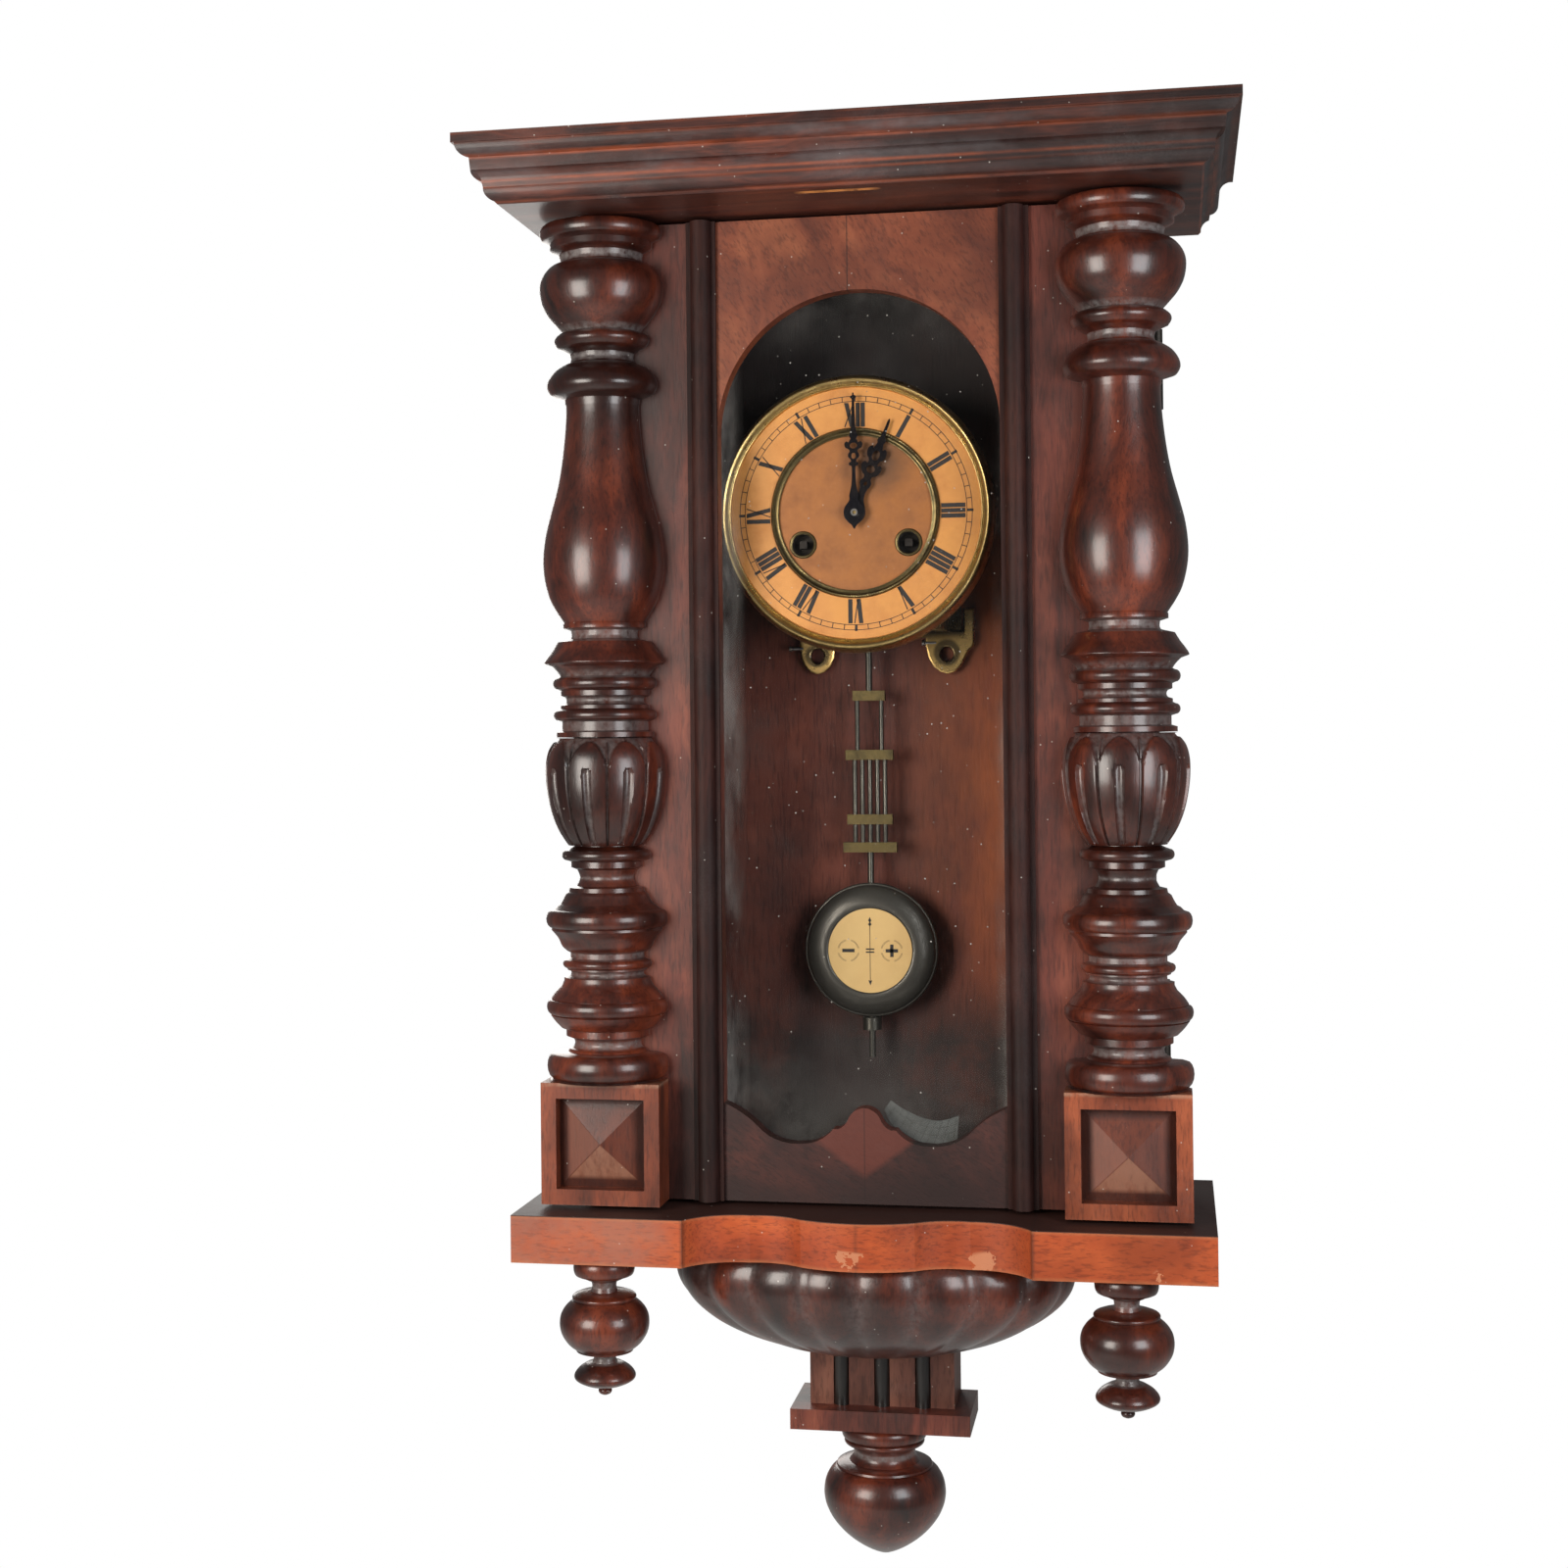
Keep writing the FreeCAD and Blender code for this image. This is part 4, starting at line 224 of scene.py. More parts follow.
def placeGroup(tree, group, place, **values):
    node = addNode(tree, "ShaderNodeGroup", node_tree=group)
    for label, value in values.items():
        node.inputs[label].default_value = value
    tree.links.new(place, node.inputs["Vector"])
    return node


def bumpFrom(tree, shader, height, strength, distance):
    bump = addNode(tree, "ShaderNodeBump", Strength=strength, Distance=distance)
    tree.links.new(height, bump.inputs["Height"])
    tree.links.new(bump.outputs[0], shader.inputs["Normal"])


def spikes(tree, value, low, high, marks):
    # one ramp over the value from low to high, with a peak for each mark (centre, half width, strength)
    ramp = tree.nodes.new("ShaderNodeValToRGB")
    stops = ramp.color_ramp.elements
    stops[0].color = stops[1].color = (0, 0, 0, 1)
    for centre, half, strength in marks:
        for at, level in ((centre - half, 0.0), (centre, strength), (centre + half, 0.0)):
            stop = stops.new((at - low) / (high - low))
            stop.color = (level, level, level, 1)
    tree.links.new(limits(tree, value, low, high), ramp.inputs[0])
    return ramp.outputs[0]


def axisOf(tree, place, axis):
    split = tree.nodes.new("ShaderNodeSeparateXYZ")
    tree.links.new(place, split.inputs[0])
    return split.outputs[axis]


def raggedOf(tree, place, scale, low, high, stretch=(1, 1, 1)):
    # a broken noise mask, stretched along an axis where the stretch is small
    noise = noiseOf(tree, scaled(tree, place, stretch), Scale=scale, Detail=5.0, Roughness=0.7)
    return limits(tree, noise.outputs["Fac"], low, high)


surface = {
    "grainStops": (0.32, 0.50, 0.70), "cloudEdge": (0.58, 0.36), "poreShade": 0.4,
    "speckOnWood": (0.62, 0.58, 0.52), "speckOnMetal": (0.6, 0.57, 0.5), "dustDulls": 0.5,
    "woodSpread": 0.22, "metalSpread": 0.25,  # how much rougher the dull places are
    "coatRoughness": 0.2, "woodBump": (0.10, 0.0004), "metalBump": (0.08, 0.0003),
}


def woodMaterial(name, dark, middle, light, turnBy=(0, 0, 0), gloss=0.3, coat=0.5, rings=34.0, stretch=9.0,
                 pore=0.4, film=0.5, specks=0.5, figure=0.35, dustColour=(0.21, 0.19, 0.185), cloudy=0.75,
                 extra=None, filmSize=17.0, shine=0.35):
    material, tree, shader, place = blankMaterial(name)
    turn = tree.nodes.new("ShaderNodeMapping")
    turn.inputs["Rotation"].default_value = turnBy
    tree.links.new(place, turn.inputs["Vector"])
    grain = placeGroup(tree, grainGroup, turn.outputs[0], Stretch=stretch, Rings=rings, Figure=figure)
    ramp = tree.nodes.new("ShaderNodeValToRGB")
    stops = ramp.color_ramp.elements
    darkAt, middleAt, lightAt = surface["grainStops"]
    stops[0].position, stops[0].color = darkAt, (*dark, 1)
    stops[1].position, stops[1].color = lightAt, (*light, 1)
    stops.new(middleAt).color = (*middle, 1)
    tree.links.new(grain.outputs["Band"], ramp.inputs[0])
    shade = limits(tree, grain.outputs["Cloud"], *surface["cloudEdge"])
    colour = tint(tree, ramp.outputs[0], shade, cloudy, dark)
    pores = between(tree, grain.outputs["Pore"], pore, 0.0)
    colour = mixColour(tree, pores, colour, tuple(surface["poreShade"] * part for part in dark))
    if extra:
        colour = extra(tree, place, colour)
    dusty = placeGroup(tree, dustGroup, place, Film=film, Specks=specks, Size=filmSize)
    hollow = addNode(tree, "ShaderNodeAttribute", attribute_name="hollow")
    lying = multiply(tree, hollow.outputs["Fac"], raggedOf(tree, place, 260.0, 0.30, 0.62))
    settled = mathOf(tree, "MAXIMUM", dusty.outputs["Film"], lying, clamp=False)
    colour = mixColour(tree, settled, colour, dustColour)
    colour = mixColour(tree, dusty.outputs["Speck"], colour, surface["speckOnWood"])
    tree.links.new(colour, shader.inputs["Base Color"])
    rough = between(tree, grain.outputs["Cloud"], gloss, gloss + surface["woodSpread"])
    dulled = mathOf(tree, "ADD", rough, multiply(tree, settled, surface["dustDulls"]))
    tree.links.new(dulled, shader.inputs["Roughness"])
    bumpFrom(tree, shader, grain.outputs["Pore"], *surface["woodBump"])
    shader.inputs["Coat Weight"].default_value = coat
    shader.inputs["Coat Roughness"].default_value = surface["coatRoughness"]
    shader.inputs["Specular IOR Level"].default_value = shine
    return material


def metalMaterial(name, bright, dull, roughness=0.3, size=45.0, contrast=0.8, metallic=1.0, extra=None,
                  specks=0.5):
    material, tree, shader, place = blankMaterial(name)
    mark = placeGroup(tree, tarnishGroup, place, Size=size, Contrast=contrast)
    colour = mixColour(tree, mark.outputs["Mask"], bright, dull)
    if extra:
        colour = extra(tree, place, colour)
    dusty = placeGroup(tree, dustGroup, place, Film=0.0, Specks=specks)
    colour = mixColour(tree, dusty.outputs["Speck"], colour, surface["speckOnMetal"])
    tree.links.new(colour, shader.inputs["Base Color"])
    rough = between(tree, mark.outputs["Mask"], roughness, roughness + surface["metalSpread"])
    tree.links.new(rough, shader.inputs["Roughness"])
    bumpFrom(tree, shader, mark.outputs["Scratch"], *surface["metalBump"])
    shader.inputs["Metallic"].default_value = metallic
    return material


paneMarks = {  # places in metres; smears are (centre, half width, strength) across the pane
    "across": (-0.12, 0.12), "smears": [(-0.088, 0.016, 0.45), (0.088, 0.010, 0.30)],
    "foot": (-0.46, -0.535), "footVeil": 0.10, "head": (-0.055, 0.0), "headVeil": 0.14,
    "film": 0.16, "clear": 0.025, "clearTint": (0.03, 0.03, 0.03), "filmTint": (0.42, 0.40, 0.37),
}


def glassMaterial(name):
    # nearly clear, with pale specks, and a grey film towards the edges of the pane
    material, tree, shader, place = blankMaterial(name)
    dusty = placeGroup(tree, dustGroup, place, Film=0.35, Specks=0.9, Size=24.0)
    edges = spikes(tree, axisOf(tree, place, "X"), *paneMarks["across"], paneMarks["smears"])
    smears = multiply(tree, edges, raggedOf(tree, place, 30.0, 0.36, 0.66, (1, 1, 0.3)))
    up = axisOf(tree, place, "Z")
    foot = multiply(tree, limits(tree, up, *paneMarks["foot"]), paneMarks["footVeil"])
    head = multiply(tree, limits(tree, up, *paneMarks["head"]), paneMarks["headVeil"])
    ends = multiply(tree, mathOf(tree, "ADD", foot, head), raggedOf(tree, place, 22.0, 0.2, 0.6))
    veil = mathOf(tree, "ADD", smears, ends)
    film = mathOf(tree, "ADD", veil, multiply(tree, dusty.outputs["Film"], paneMarks["film"]))
    full = mathOf(tree, "MAXIMUM", film, dusty.outputs["Speck"], clamp=False)
    tree.links.new(mathOf(tree, "ADD", full, paneMarks["clear"]), shader.inputs["Alpha"])
    veiled = limits(tree, full, 0.0, 0.2)
    colour = mixColour(tree, veiled, paneMarks["clearTint"], paneMarks["filmTint"])
    tree.links.new(colour, shader.inputs["Base Color"])
    shader.inputs["Roughness"].default_value = 0.08
    shader.inputs["Specular IOR Level"].default_value = 0.5
    return material


corniceMarks = {  # heights and places in metres; lines are (centre, half width, strength)
    "heights": (0.030, 0.073), "rubbedRed": (0.34, 0.070, 0.020), "dust": (0.13, 0.12, 0.125),
    "arrises": [(0.0335, 0.0012, 0.5), (0.0413, 0.0012, 0.55), (0.0448, 0.0014, 1.0), (0.0578, 0.0016, 1.0),
                (0.0650, 0.0012, 0.5), (0.0702, 0.0012, 0.45)],
    "coves": [(0.0378, 0.0040, 0.35), (0.0490, 0.0060, 0.9), (0.0610, 0.0055, 1.0)],
    "shadedEnd": (0.02, 0.17), "shadedFrom": (0.033, 0.037), "paintedEndShade": (0.010, 0.006, 0.0055),
    "underside": (0.0337, 0.0334), "scratchBack": (-0.1652, -0.1660), "scratchFront": (-0.1712, -0.1702),
    "scratchSpan": (-0.10, 0.08), "scratch": (-0.003, 0.026, 1.0), "scratchShade": (0.75, 0.30, 0.08),
}


def corniceWearAndShade(tree, place, colour):
    # thin red lines where the arrises are rubbed, grey dust in the coves, painted shade darkening the right
    # end, and one long scratch under the cornice
    plan = corniceMarks
    across, depth, up = (axisOf(tree, place, axis) for axis in "XYZ")
    arris = spikes(tree, up, *plan["heights"], plan["arrises"])
    rubbed = multiply(tree, arris, raggedOf(tree, place, 26.0, 0.36, 0.58, (0.35, 1, 1)))
    colour = tint(tree, colour, rubbed, 0.9, plan["rubbedRed"])
    coves = spikes(tree, up, *plan["heights"], plan["coves"])
    dusty = multiply(tree, coves, raggedOf(tree, place, 17.0, 0.44, 0.70, (0.6, 1, 1)))
    colour = tint(tree, colour, dusty, 0.75, plan["dust"])
    # painted shade: the cornice's right end is darkened above its underside
    right = multiply(tree, limits(tree, across, *plan["shadedEnd"]), limits(tree, up, *plan["shadedFrom"]))
    colour = tint(tree, colour, right, 0.62, plan["paintedEndShade"])
    under = limits(tree, up, *plan["underside"])
    back, front = (limits(tree, depth, *plan[end]) for end in ("scratchBack", "scratchFront"))
    strip = multiply(tree, back, front)
    along = spikes(tree, across, *plan["scratchSpan"], [plan["scratch"]])
    long = multiply(tree, limits(tree, along, 0.0, 0.3), raggedOf(tree, place, 90.0, 0.3, 0.5))
    mark = multiply(tree, multiply(tree, under, strip), long)
    return mixColour(tree, mark, colour, plan["scratchShade"])


def jointLine(tree, place, colour, marks, span, strength, shade):
    # fine dark upright joints between sheets of veneer
    joint = spikes(tree, axisOf(tree, place, "X"), -span, span, marks)
    return tint(tree, colour, joint, strength, shade)


def railTopMatch(tree, place, colour):
    # a joint line down the middle of the matched veneer
    return jointLine(tree, place, colour, [(-0.0052, 0.0006, 1.0)], 0.02, 0.85, (0.010, 0.005, 0.004))


railMarks = {  # metres: the diamond's middle height, its slope and its edge, and where the foot darkens
    "middle": -0.526, "slope": 1.35, "edge": (0.040, 0.034), "diamond": (0.135, 0.030, 0.018),
    "foot": (-0.545, -0.566), "footShade": (0.020, 0.008, 0.007), "joint": (0.012, 0.004, 0.003),
}


def lowerRailMatch(tree, place, colour):
    # the matched veneer is redder in a diamond at the middle, and near black along its foot
    plan = railMarks
    up = axisOf(tree, place, "Z")
    side = mathOf(tree, "ABSOLUTE", axisOf(tree, place, "X"), clamp=False)
    rise = mathOf(tree, "ABSOLUTE", mathOf(tree, "ADD", up, -plan["middle"], clamp=False), clamp=False)
    reach = mathOf(tree, "MULTIPLY_ADD", rise, plan["slope"], side, clamp=False)
    colour = tint(tree, colour, limits(tree, reach, *plan["edge"]), 0.60, plan["diamond"])
    colour = tint(tree, colour, limits(tree, up, *plan["foot"]), 0.75, plan["footShade"])
    return jointLine(tree, place, colour, [(0.0, 0.0006, 1.0)], 0.02, 0.6, plan["joint"])


shelfMarks = {  # places in metres; lines are (centre, half width, strength)
    "half": 0.24, "joints": [(-0.103, 0.0009, 1.0), (0.103, 0.0009, 1.0), (0.0, 0.0006, 0.5)],
    "jointShade": (0.05, 0.014, 0.006), "greyEnd": (-0.10, -0.12), "greyShade": (0.26, 0.12, 0.085),
    "heights": (-0.610, -0.565), "edges": [(-0.5722, 0.0022, 1.0), (-0.6002, 0.0022, 0.8)],
    "edgeShade": (0.50, 0.19, 0.075), "chipped": (-0.586, -0.597),
    "chips": [(-0.02, 0.05, 1.0), (0.10, 0.05, 1.0), (0.20, 0.035, 1.0)], "chipShade": (0.46, 0.17, 0.08),
    "top": (-0.5728, -0.5722), "paintedTopShade": (0.022, 0.009, 0.008),
}


def shelfJointsAndShade(tree, place, colour):
    # upright joints of the veneer, rubbed edges, chips along the foot, and painted shade, near black, on the
    # top
    plan = shelfMarks
    half = plan["half"]
    across, up = axisOf(tree, place, "X"), axisOf(tree, place, "Z")
    colour = jointLine(tree, place, colour, plan["joints"], half, 0.8, plan["jointShade"])
    grey = multiply(tree, limits(tree, across, *plan["greyEnd"]), raggedOf(tree, place, 25.0, 0.30, 0.60))
    colour = tint(tree, colour, grey, 0.6, plan["greyShade"])
    edge = spikes(tree, up, *plan["heights"], plan["edges"])
    rubbed = multiply(tree, edge, raggedOf(tree, place, 30.0, 0.25, 0.50))
    colour = tint(tree, colour, rubbed, 0.45, plan["edgeShade"])
    chips = multiply(tree, limits(tree, up, *plan["chipped"]), raggedOf(tree, place, 38.0, 0.60, 0.615))
    chips = multiply(tree, chips, spikes(tree, across, -half, half, plan["chips"]))
    colour = mixColour(tree, limits(tree, chips, 0.12, 0.2), colour, plan["chipShade"])
    # painted shade: the top of the shelf is darkened to near black
    return tint(tree, colour, limits(tree, up, *plan["top"]), 0.96, plan["paintedTopShade"])


plinthMarks = {  # metres: the pyramids' middles and half sizes, and the rubbed top and foot edges
    "across": 0.158, "height": -0.5326, "sunkEdge": (0.0276, 0.0270), "borderEdge": (0.0195, 0.0225),
    "facetEdge": (0.0225, 0.0195), "facetSplit": (0.0, -0.0008), "heights": (-0.58, -0.49),
    "edges": [(-0.4965, 0.002, 0.6), (-0.5710, 0.002, 0.7)], "edgeShade": (0.45, 0.30, 0.20),
    "sunkPaintedShade": (0.040, 0.012, 0.009), "borderPaintedShade": (0.020, 0.008, 0.007),
    "leftPaintedLight": (0.25, 0.105, 0.070), "footShade": (0.34, 0.165, 0.105),
}


def plinthWearAndPaintedLight(tree, place, colour):
    # each pyramid: painted shade in its sunk border, painted light on its left facet and, palest, on its foot
    # facet
    plan = plinthMarks
    across, up = axisOf(tree, place, "X"), axisOf(tree, place, "Z")
    edge = spikes(tree, up, *plan["heights"], plan["edges"])
    worn = multiply(tree, edge, raggedOf(tree, place, 60.0, 0.42, 0.58))
    way = mathOf(tree, "SIGN", across, clamp=False)
    local = mathOf(tree, "MULTIPLY_ADD", way, -plan["across"], across, clamp=False)
    lifted = mathOf(tree, "ADD", up, -plan["height"], clamp=False)
    side = mathOf(tree, "ABSOLUTE", local, clamp=False)
    rise = mathOf(tree, "ABSOLUTE", lifted, clamp=False)
    reach = mathOf(tree, "MAXIMUM", side, rise, clamp=False)
    sunk = limits(tree, reach, *plan["sunkEdge"])
    border = multiply(tree, sunk, limits(tree, reach, *plan["borderEdge"]))
    # painted shade in the sunk border round each pyramid
    colour = tint(tree, colour, sunk, 0.45, plan["sunkPaintedShade"])
    colour = tint(tree, colour, border, 0.6, plan["borderPaintedShade"])
    facet = limits(tree, reach, *plan["facetEdge"])
    left = limits(tree, mathOf(tree, "ADD", local, rise, clamp=False), *plan["facetSplit"])
    foot = limits(tree, mathOf(tree, "ADD", lifted, side, clamp=False), *plan["facetSplit"])
    # painted light on the left facet and, palest, on the foot facet
    colour = tint(tree, colour, multiply(tree, left, facet), 0.35, plan["leftPaintedLight"])
    pale = multiply(tree, multiply(tree, foot, facet), raggedOf(tree, place, 90.0, 0.25, 0.55, (1, 1, 0.25)))
    colour = tint(tree, colour, pale, 0.6, plan["footShade"])
    return tint(tree, colour, worn, 0.7, plan["edgeShade"])


boardMarks = {  # places in metres
    "warmAcross": (0.0, 0.075), "warmFoot": (-0.50, -0.40), "warmHead": (-0.12, -0.22),
    "paintedLightColour": (0.32, 0.080, 0.022), "arch": (-0.150, -0.075), "archPaintedShadow": (0.017, 0.015, 0.015),
    "foot": (-0.440, -0.485), "footShade": (0.022, 0.018, 0.017), "frontFace": (-0.0050, -0.0080),
}


def boardPaintedLightAndShadow(tree, place, colour):
    # on the front only: painted shadow, near black, behind the arch; painted light, orange, on the right;
    # near black in ragged patches at the foot
    plan = boardMarks
    plain = colour
    across, depth, up = (axisOf(tree, place, axis) for axis in "XYZ")
    # painted light: an orange patch on the right of the board
    litPatch = multiply(tree, limits(tree, across, *plan["warmAcross"]), limits(tree, up, *plan["warmFoot"]))
    litPatch = multiply(tree, litPatch, limits(tree, up, *plan["warmHead"]))
    litPatch = multiply(tree, litPatch, raggedOf(tree, place, 14.0, 0.30, 0.56, (1, 1, 0.35)))
    colour = mixColour(tree, litPatch, colour, plan["paintedLightColour"])
    # painted shadow: near black behind the arch
    colour = tint(tree, colour, limits(tree, up, *plan["arch"]), 0.93, plan["archPaintedShadow"])
    foot = multiply(tree, limits(tree, up, *plan["foot"]), raggedOf(tree, place, 16.0, 0.18, 0.50))
    colour = tint(tree, colour, foot, 0.9, plan["footShade"])
    return mixColour(tree, limits(tree, depth, *plan["frontFace"]), plain, colour)


def discStain(tree, place, colour):
    # a dark stain beside the hour hand
    near = limits(tree, distanceTo(tree, place, (0.008, -0.0836, -0.116)), 0.026, 0.006)
    return tint(tree, colour, near, 0.75, (0.045, 0.030, 0.020))


earMarks = {  # metres: the painted shade behind the dial, and each hole's middle with its dark ring's outer and inner radius
    "behindHeight": (-0.2250, -0.2205), "behindAcross": (0.0556, 0.0548),
    "behindPaintedShade": (0.035, 0.030, 0.024),
    "holes": [((-0.0410, -0.0170, -0.2335), 0.0086, 0.0072), ((0.0436, -0.0170, -0.2330), 0.0094, 0.0076)],
    "holeShade": (0.040, 0.036, 0.028),
}


def earShade(tree, place, colour):
    # the ears get painted shade behind the dial, are dark round their holes, and bright elsewhere
    plan = earMarks
    # painted shade on the plate where the dial stands in front of it
    high = limits(tree, axisOf(tree, place, "Z"), *plan["behindHeight"])
    behind = multiply(tree, high, limits(tree, axisOf(tree, place, "X"), *plan["behindAcross"]))
    colour = tint(tree, colour, behind, 0.85, plan["behindPaintedShade"])
    for centre, far, near in plan["holes"]:
        holeRing = limits(tree, distanceTo(tree, place, centre), far, near)
        colour = tint(tree, colour, holeRing, 0.8, plan["holeShade"])
    return colour


finish = {
    "mahogany": woodMaterial("mahoganyUpright", (0.026, 0.007, 0.005), (0.125, 0.027, 0.016),
                             (0.240, 0.062, 0.032), film=0.08, gloss=0.40, coat=0.2),
    "turned": woodMaterial("mahoganyTurned", (0.013, 0.004, 0.003), (0.074, 0.014, 0.007),
                           (0.200, 0.038, 0.014), gloss=0.23, coat=0.55, rings=42.0, stretch=4.0, film=0.04,
                           cloudy=0.85),
    "corniceWood": woodMaterial("mahoganyCornice", (0.010, 0.004, 0.0035), (0.050, 0.013, 0.009),
                                (0.150, 0.036, 0.019), (0, math.pi / 2, 0), rings=60.0, stretch=14.0,
                                film=0.20, gloss=0.38, coat=0.2, extra=corniceWearAndShade),
    "walnut": woodMaterial("walnutVeneer", (0.080, 0.018, 0.009), (0.210, 0.052, 0.022),
                           (0.330, 0.100, 0.042), (0, math.radians(32), 0), rings=30.0, stretch=3.0,
                           figure=0.9, film=0.06, gloss=0.42, coat=0.2, extra=railTopMatch),
    "lowerRail": woodMaterial("veneerLowerRail", (0.014, 0.005, 0.004), (0.042, 0.012, 0.009),
                              (0.100, 0.024, 0.015), (0, math.radians(58), 0), rings=24.0, stretch=3.0,
                              figure=0.9, film=0.06, gloss=0.46, coat=0.2, extra=lowerRailMatch),
    "shelf_veneer": woodMaterial("shelfVeneer", (0.16, 0.024, 0.006), (0.36, 0.056, 0.012),
                                 (0.50, 0.098, 0.022), (0, math.pi / 2, 0), rings=22.0, stretch=4.0,
                                 figure=0.8, film=0.06, cloudy=0.7, gloss=0.42, coat=0.0, extra=shelfJointsAndShade),
    "plinthWood": woodMaterial("plinthMahogany", (0.050, 0.012, 0.006), (0.185, 0.038, 0.014),
                               (0.330, 0.078, 0.028), rings=30.0, stretch=6.0, film=0.10, cloudy=0.7,
                               gloss=0.36, coat=0.15, extra=plinthWearAndPaintedLight),
    "blockWood": woodMaterial("blockMahogany", (0.040, 0.014, 0.010), (0.130, 0.044, 0.028),
                              (0.230, 0.090, 0.055), rings=30.0, stretch=6.0, film=0.25, cloudy=0.5,
                              gloss=0.42, coat=0.05),
    "oak": woodMaterial("backboardWithPaintedLight", (0.040, 0.011, 0.008), (0.125, 0.030, 0.018), (0.210, 0.054, 0.030),
                        gloss=0.5, coat=0.0, rings=18.0, film=0.18, specks=0.9, extra=boardPaintedLightAndShadow,
                        dustColour=(0.12, 0.11, 0.105)),
    "ebonised": woodMaterial("darkBead", (0.010, 0.004, 0.0035), (0.030, 0.009, 0.007), (0.062, 0.018, 0.012),
                             gloss=0.5, coat=0.0, shine=0.2, film=0.20, dustColour=(0.12, 0.11, 0.11),
                             filmSize=9.0),
    "reed": woodMaterial("blackReed", (0.006, 0.005, 0.005), (0.012, 0.010, 0.009), (0.020, 0.016, 0.014),
                         gloss=0.2, coat=0.7, film=0.05),
    "glass": glassMaterial("oldGlass"),
    "brass": metalMaterial("agedBrass", (0.62, 0.45, 0.18), (0.24, 0.17, 0.065), 0.26, 90.0),
    "earBrass": metalMaterial("earBrass", (0.68, 0.46, 0.17), (0.34, 0.22, 0.08), 0.24, 90.0, 0.8,
                              extra=earShade),
    "dullBrass": metalMaterial("dullBrass", (0.24, 0.17, 0.07), (0.09, 0.065, 0.035), 0.35, 60.0),
    "copper_brass": metalMaterial("copperyBrass", (0.37, 0.138, 0.036), (0.22, 0.080, 0.023), 0.38, 60.0, 0.8,
                                  0.3, discStain),
    "blued_steel": metalMaterial("bluedSteel", (0.010, 0.010, 0.013), (0.020, 0.016, 0.014), 0.35),
    "steel": metalMaterial("plainSteel", (0.30, 0.29, 0.28), (0.13, 0.115, 0.10), 0.3),
    "iron": metalMaterial("darkIron", (0.05, 0.045, 0.04), (0.03, 0.026, 0.024), 0.55),
    "ink": metalMaterial("blackInk", (0.012, 0.010, 0.009), (0.05, 0.032, 0.02), 0.6, 60.0, 0.4, 0.0,
                         specks=0.0),
    "darkBrass": metalMaterial("darkenedBrass", (0.17, 0.13, 0.055), (0.045, 0.036, 0.022), 0.32, 80.0, 0.9),
    "bobSteel": metalMaterial("bobSteel", (0.085, 0.080, 0.068), (0.040, 0.038, 0.033), 0.30, 30.0, 0.6, 0.6),
    "rodSteel": metalMaterial("rodSteel", (0.085, 0.080, 0.066), (0.030, 0.028, 0.024), 0.3, 30.0, 0.8, 0.8),
    "dial_cream": metalMaterial("creamCelluloid", (0.66, 0.295, 0.075), (0.50, 0.195, 0.042), 0.34, 38.0, 0.9,
                                0.1),
    "paper": metalMaterial("greyPaper", (0.085, 0.092, 0.086), (0.045, 0.05, 0.046), 0.7, 120.0, 0.8, 0.0),
    "bobCream": metalMaterial("bobCelluloid", (0.66, 0.44, 0.17), (0.56, 0.34, 0.115), 0.4, 38.0, 0.5, 0.0),
}
slotOf = {row["node"]: row["material_slot"] for row in frame["record"]["subparts"]}
chosen = {"cornice_front": "corniceWood", "cornice_returns": "corniceWood", "top_board": "corniceWood",
          "plinth_blocks": "plinthWood", "rail_bottom": "lowerRail", "block_reeds": "reed",
          "fluted_block": "blockWood", "going_arbor": "iron", "strike_arbor": "iron",
          "bob_disc": "bobCream", "rating_nut": "rodSteel", "pendulum_rods": "rodSteel",
          "pendulum_bars": "darkBrass", "hinge_door_leaves": "iron", "hinge_case_leaves": "iron",
          "movement_front_plate": "dullBrass", "movement_back_plate": "dullBrass", "dial_plate": "dullBrass",
          "door_hook": "dullBrass"}
for node, thing in parts.items():
    material = finish[chosen.get(node, slotOf[node])]
    if not thing.material_slots:
        thing.data.materials.append(material)
    for place in thing.material_slots:
        place.material = material
print("stage: finishes assigned")


# helpers for modelling: places in mm, as depth from the wall and height above the shelf
mm = 0.001
shelfDrop = 572.0  # from the hanging hole down to the top of the shelf
upward = Vector((0, 0, 1))
outward = Vector((0, -1, 0))


def spot(across, depth, height):
    return Vector((across * mm, -depth * mm, (height - shelfDrop) * mm))


def beginPiece(name, place):
    bpy.ops.object.select_all(action="DESELECT")
    bpy.ops.mesh.primitive_plane_add(size=mm, location=place)
    piece = bpy.context.object
    piece.name = name
    piece.data.name = name
    bpy.ops.object.mode_set(mode="EDIT")
    bpy.ops.mesh.select_all(action="SELECT")
    return piece


def onlySelect(*pieces):
    bpy.ops.object.select_all(action="DESELECT")
    for piece in pieces:
        piece.select_set(True)
    bpy.context.view_layer.objects.active = pieces[0]


def endPiece(piece, slot, body, nodes=(), smooth=40, material=None):
    if piece.mode == "EDIT":
        bpy.ops.object.mode_set(mode="OBJECT")
    onlySelect(piece)
    bpy.ops.object.transform_apply(location=True, rotation=True, scale=True)
    if smooth:
        bpy.ops.object.shade_smooth_by_angle(angle=math.radians(smooth))
    piece.data.materials.clear()
    piece.data.materials.append(material or finish[slot])
    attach(piece, body)
    if nodes:
        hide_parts(*nodes)


def joinPieces(pieces, name):
    onlySelect(*pieces)
    bpy.ops.object.join()
    pieces[0].name = name
    return pieces[0]


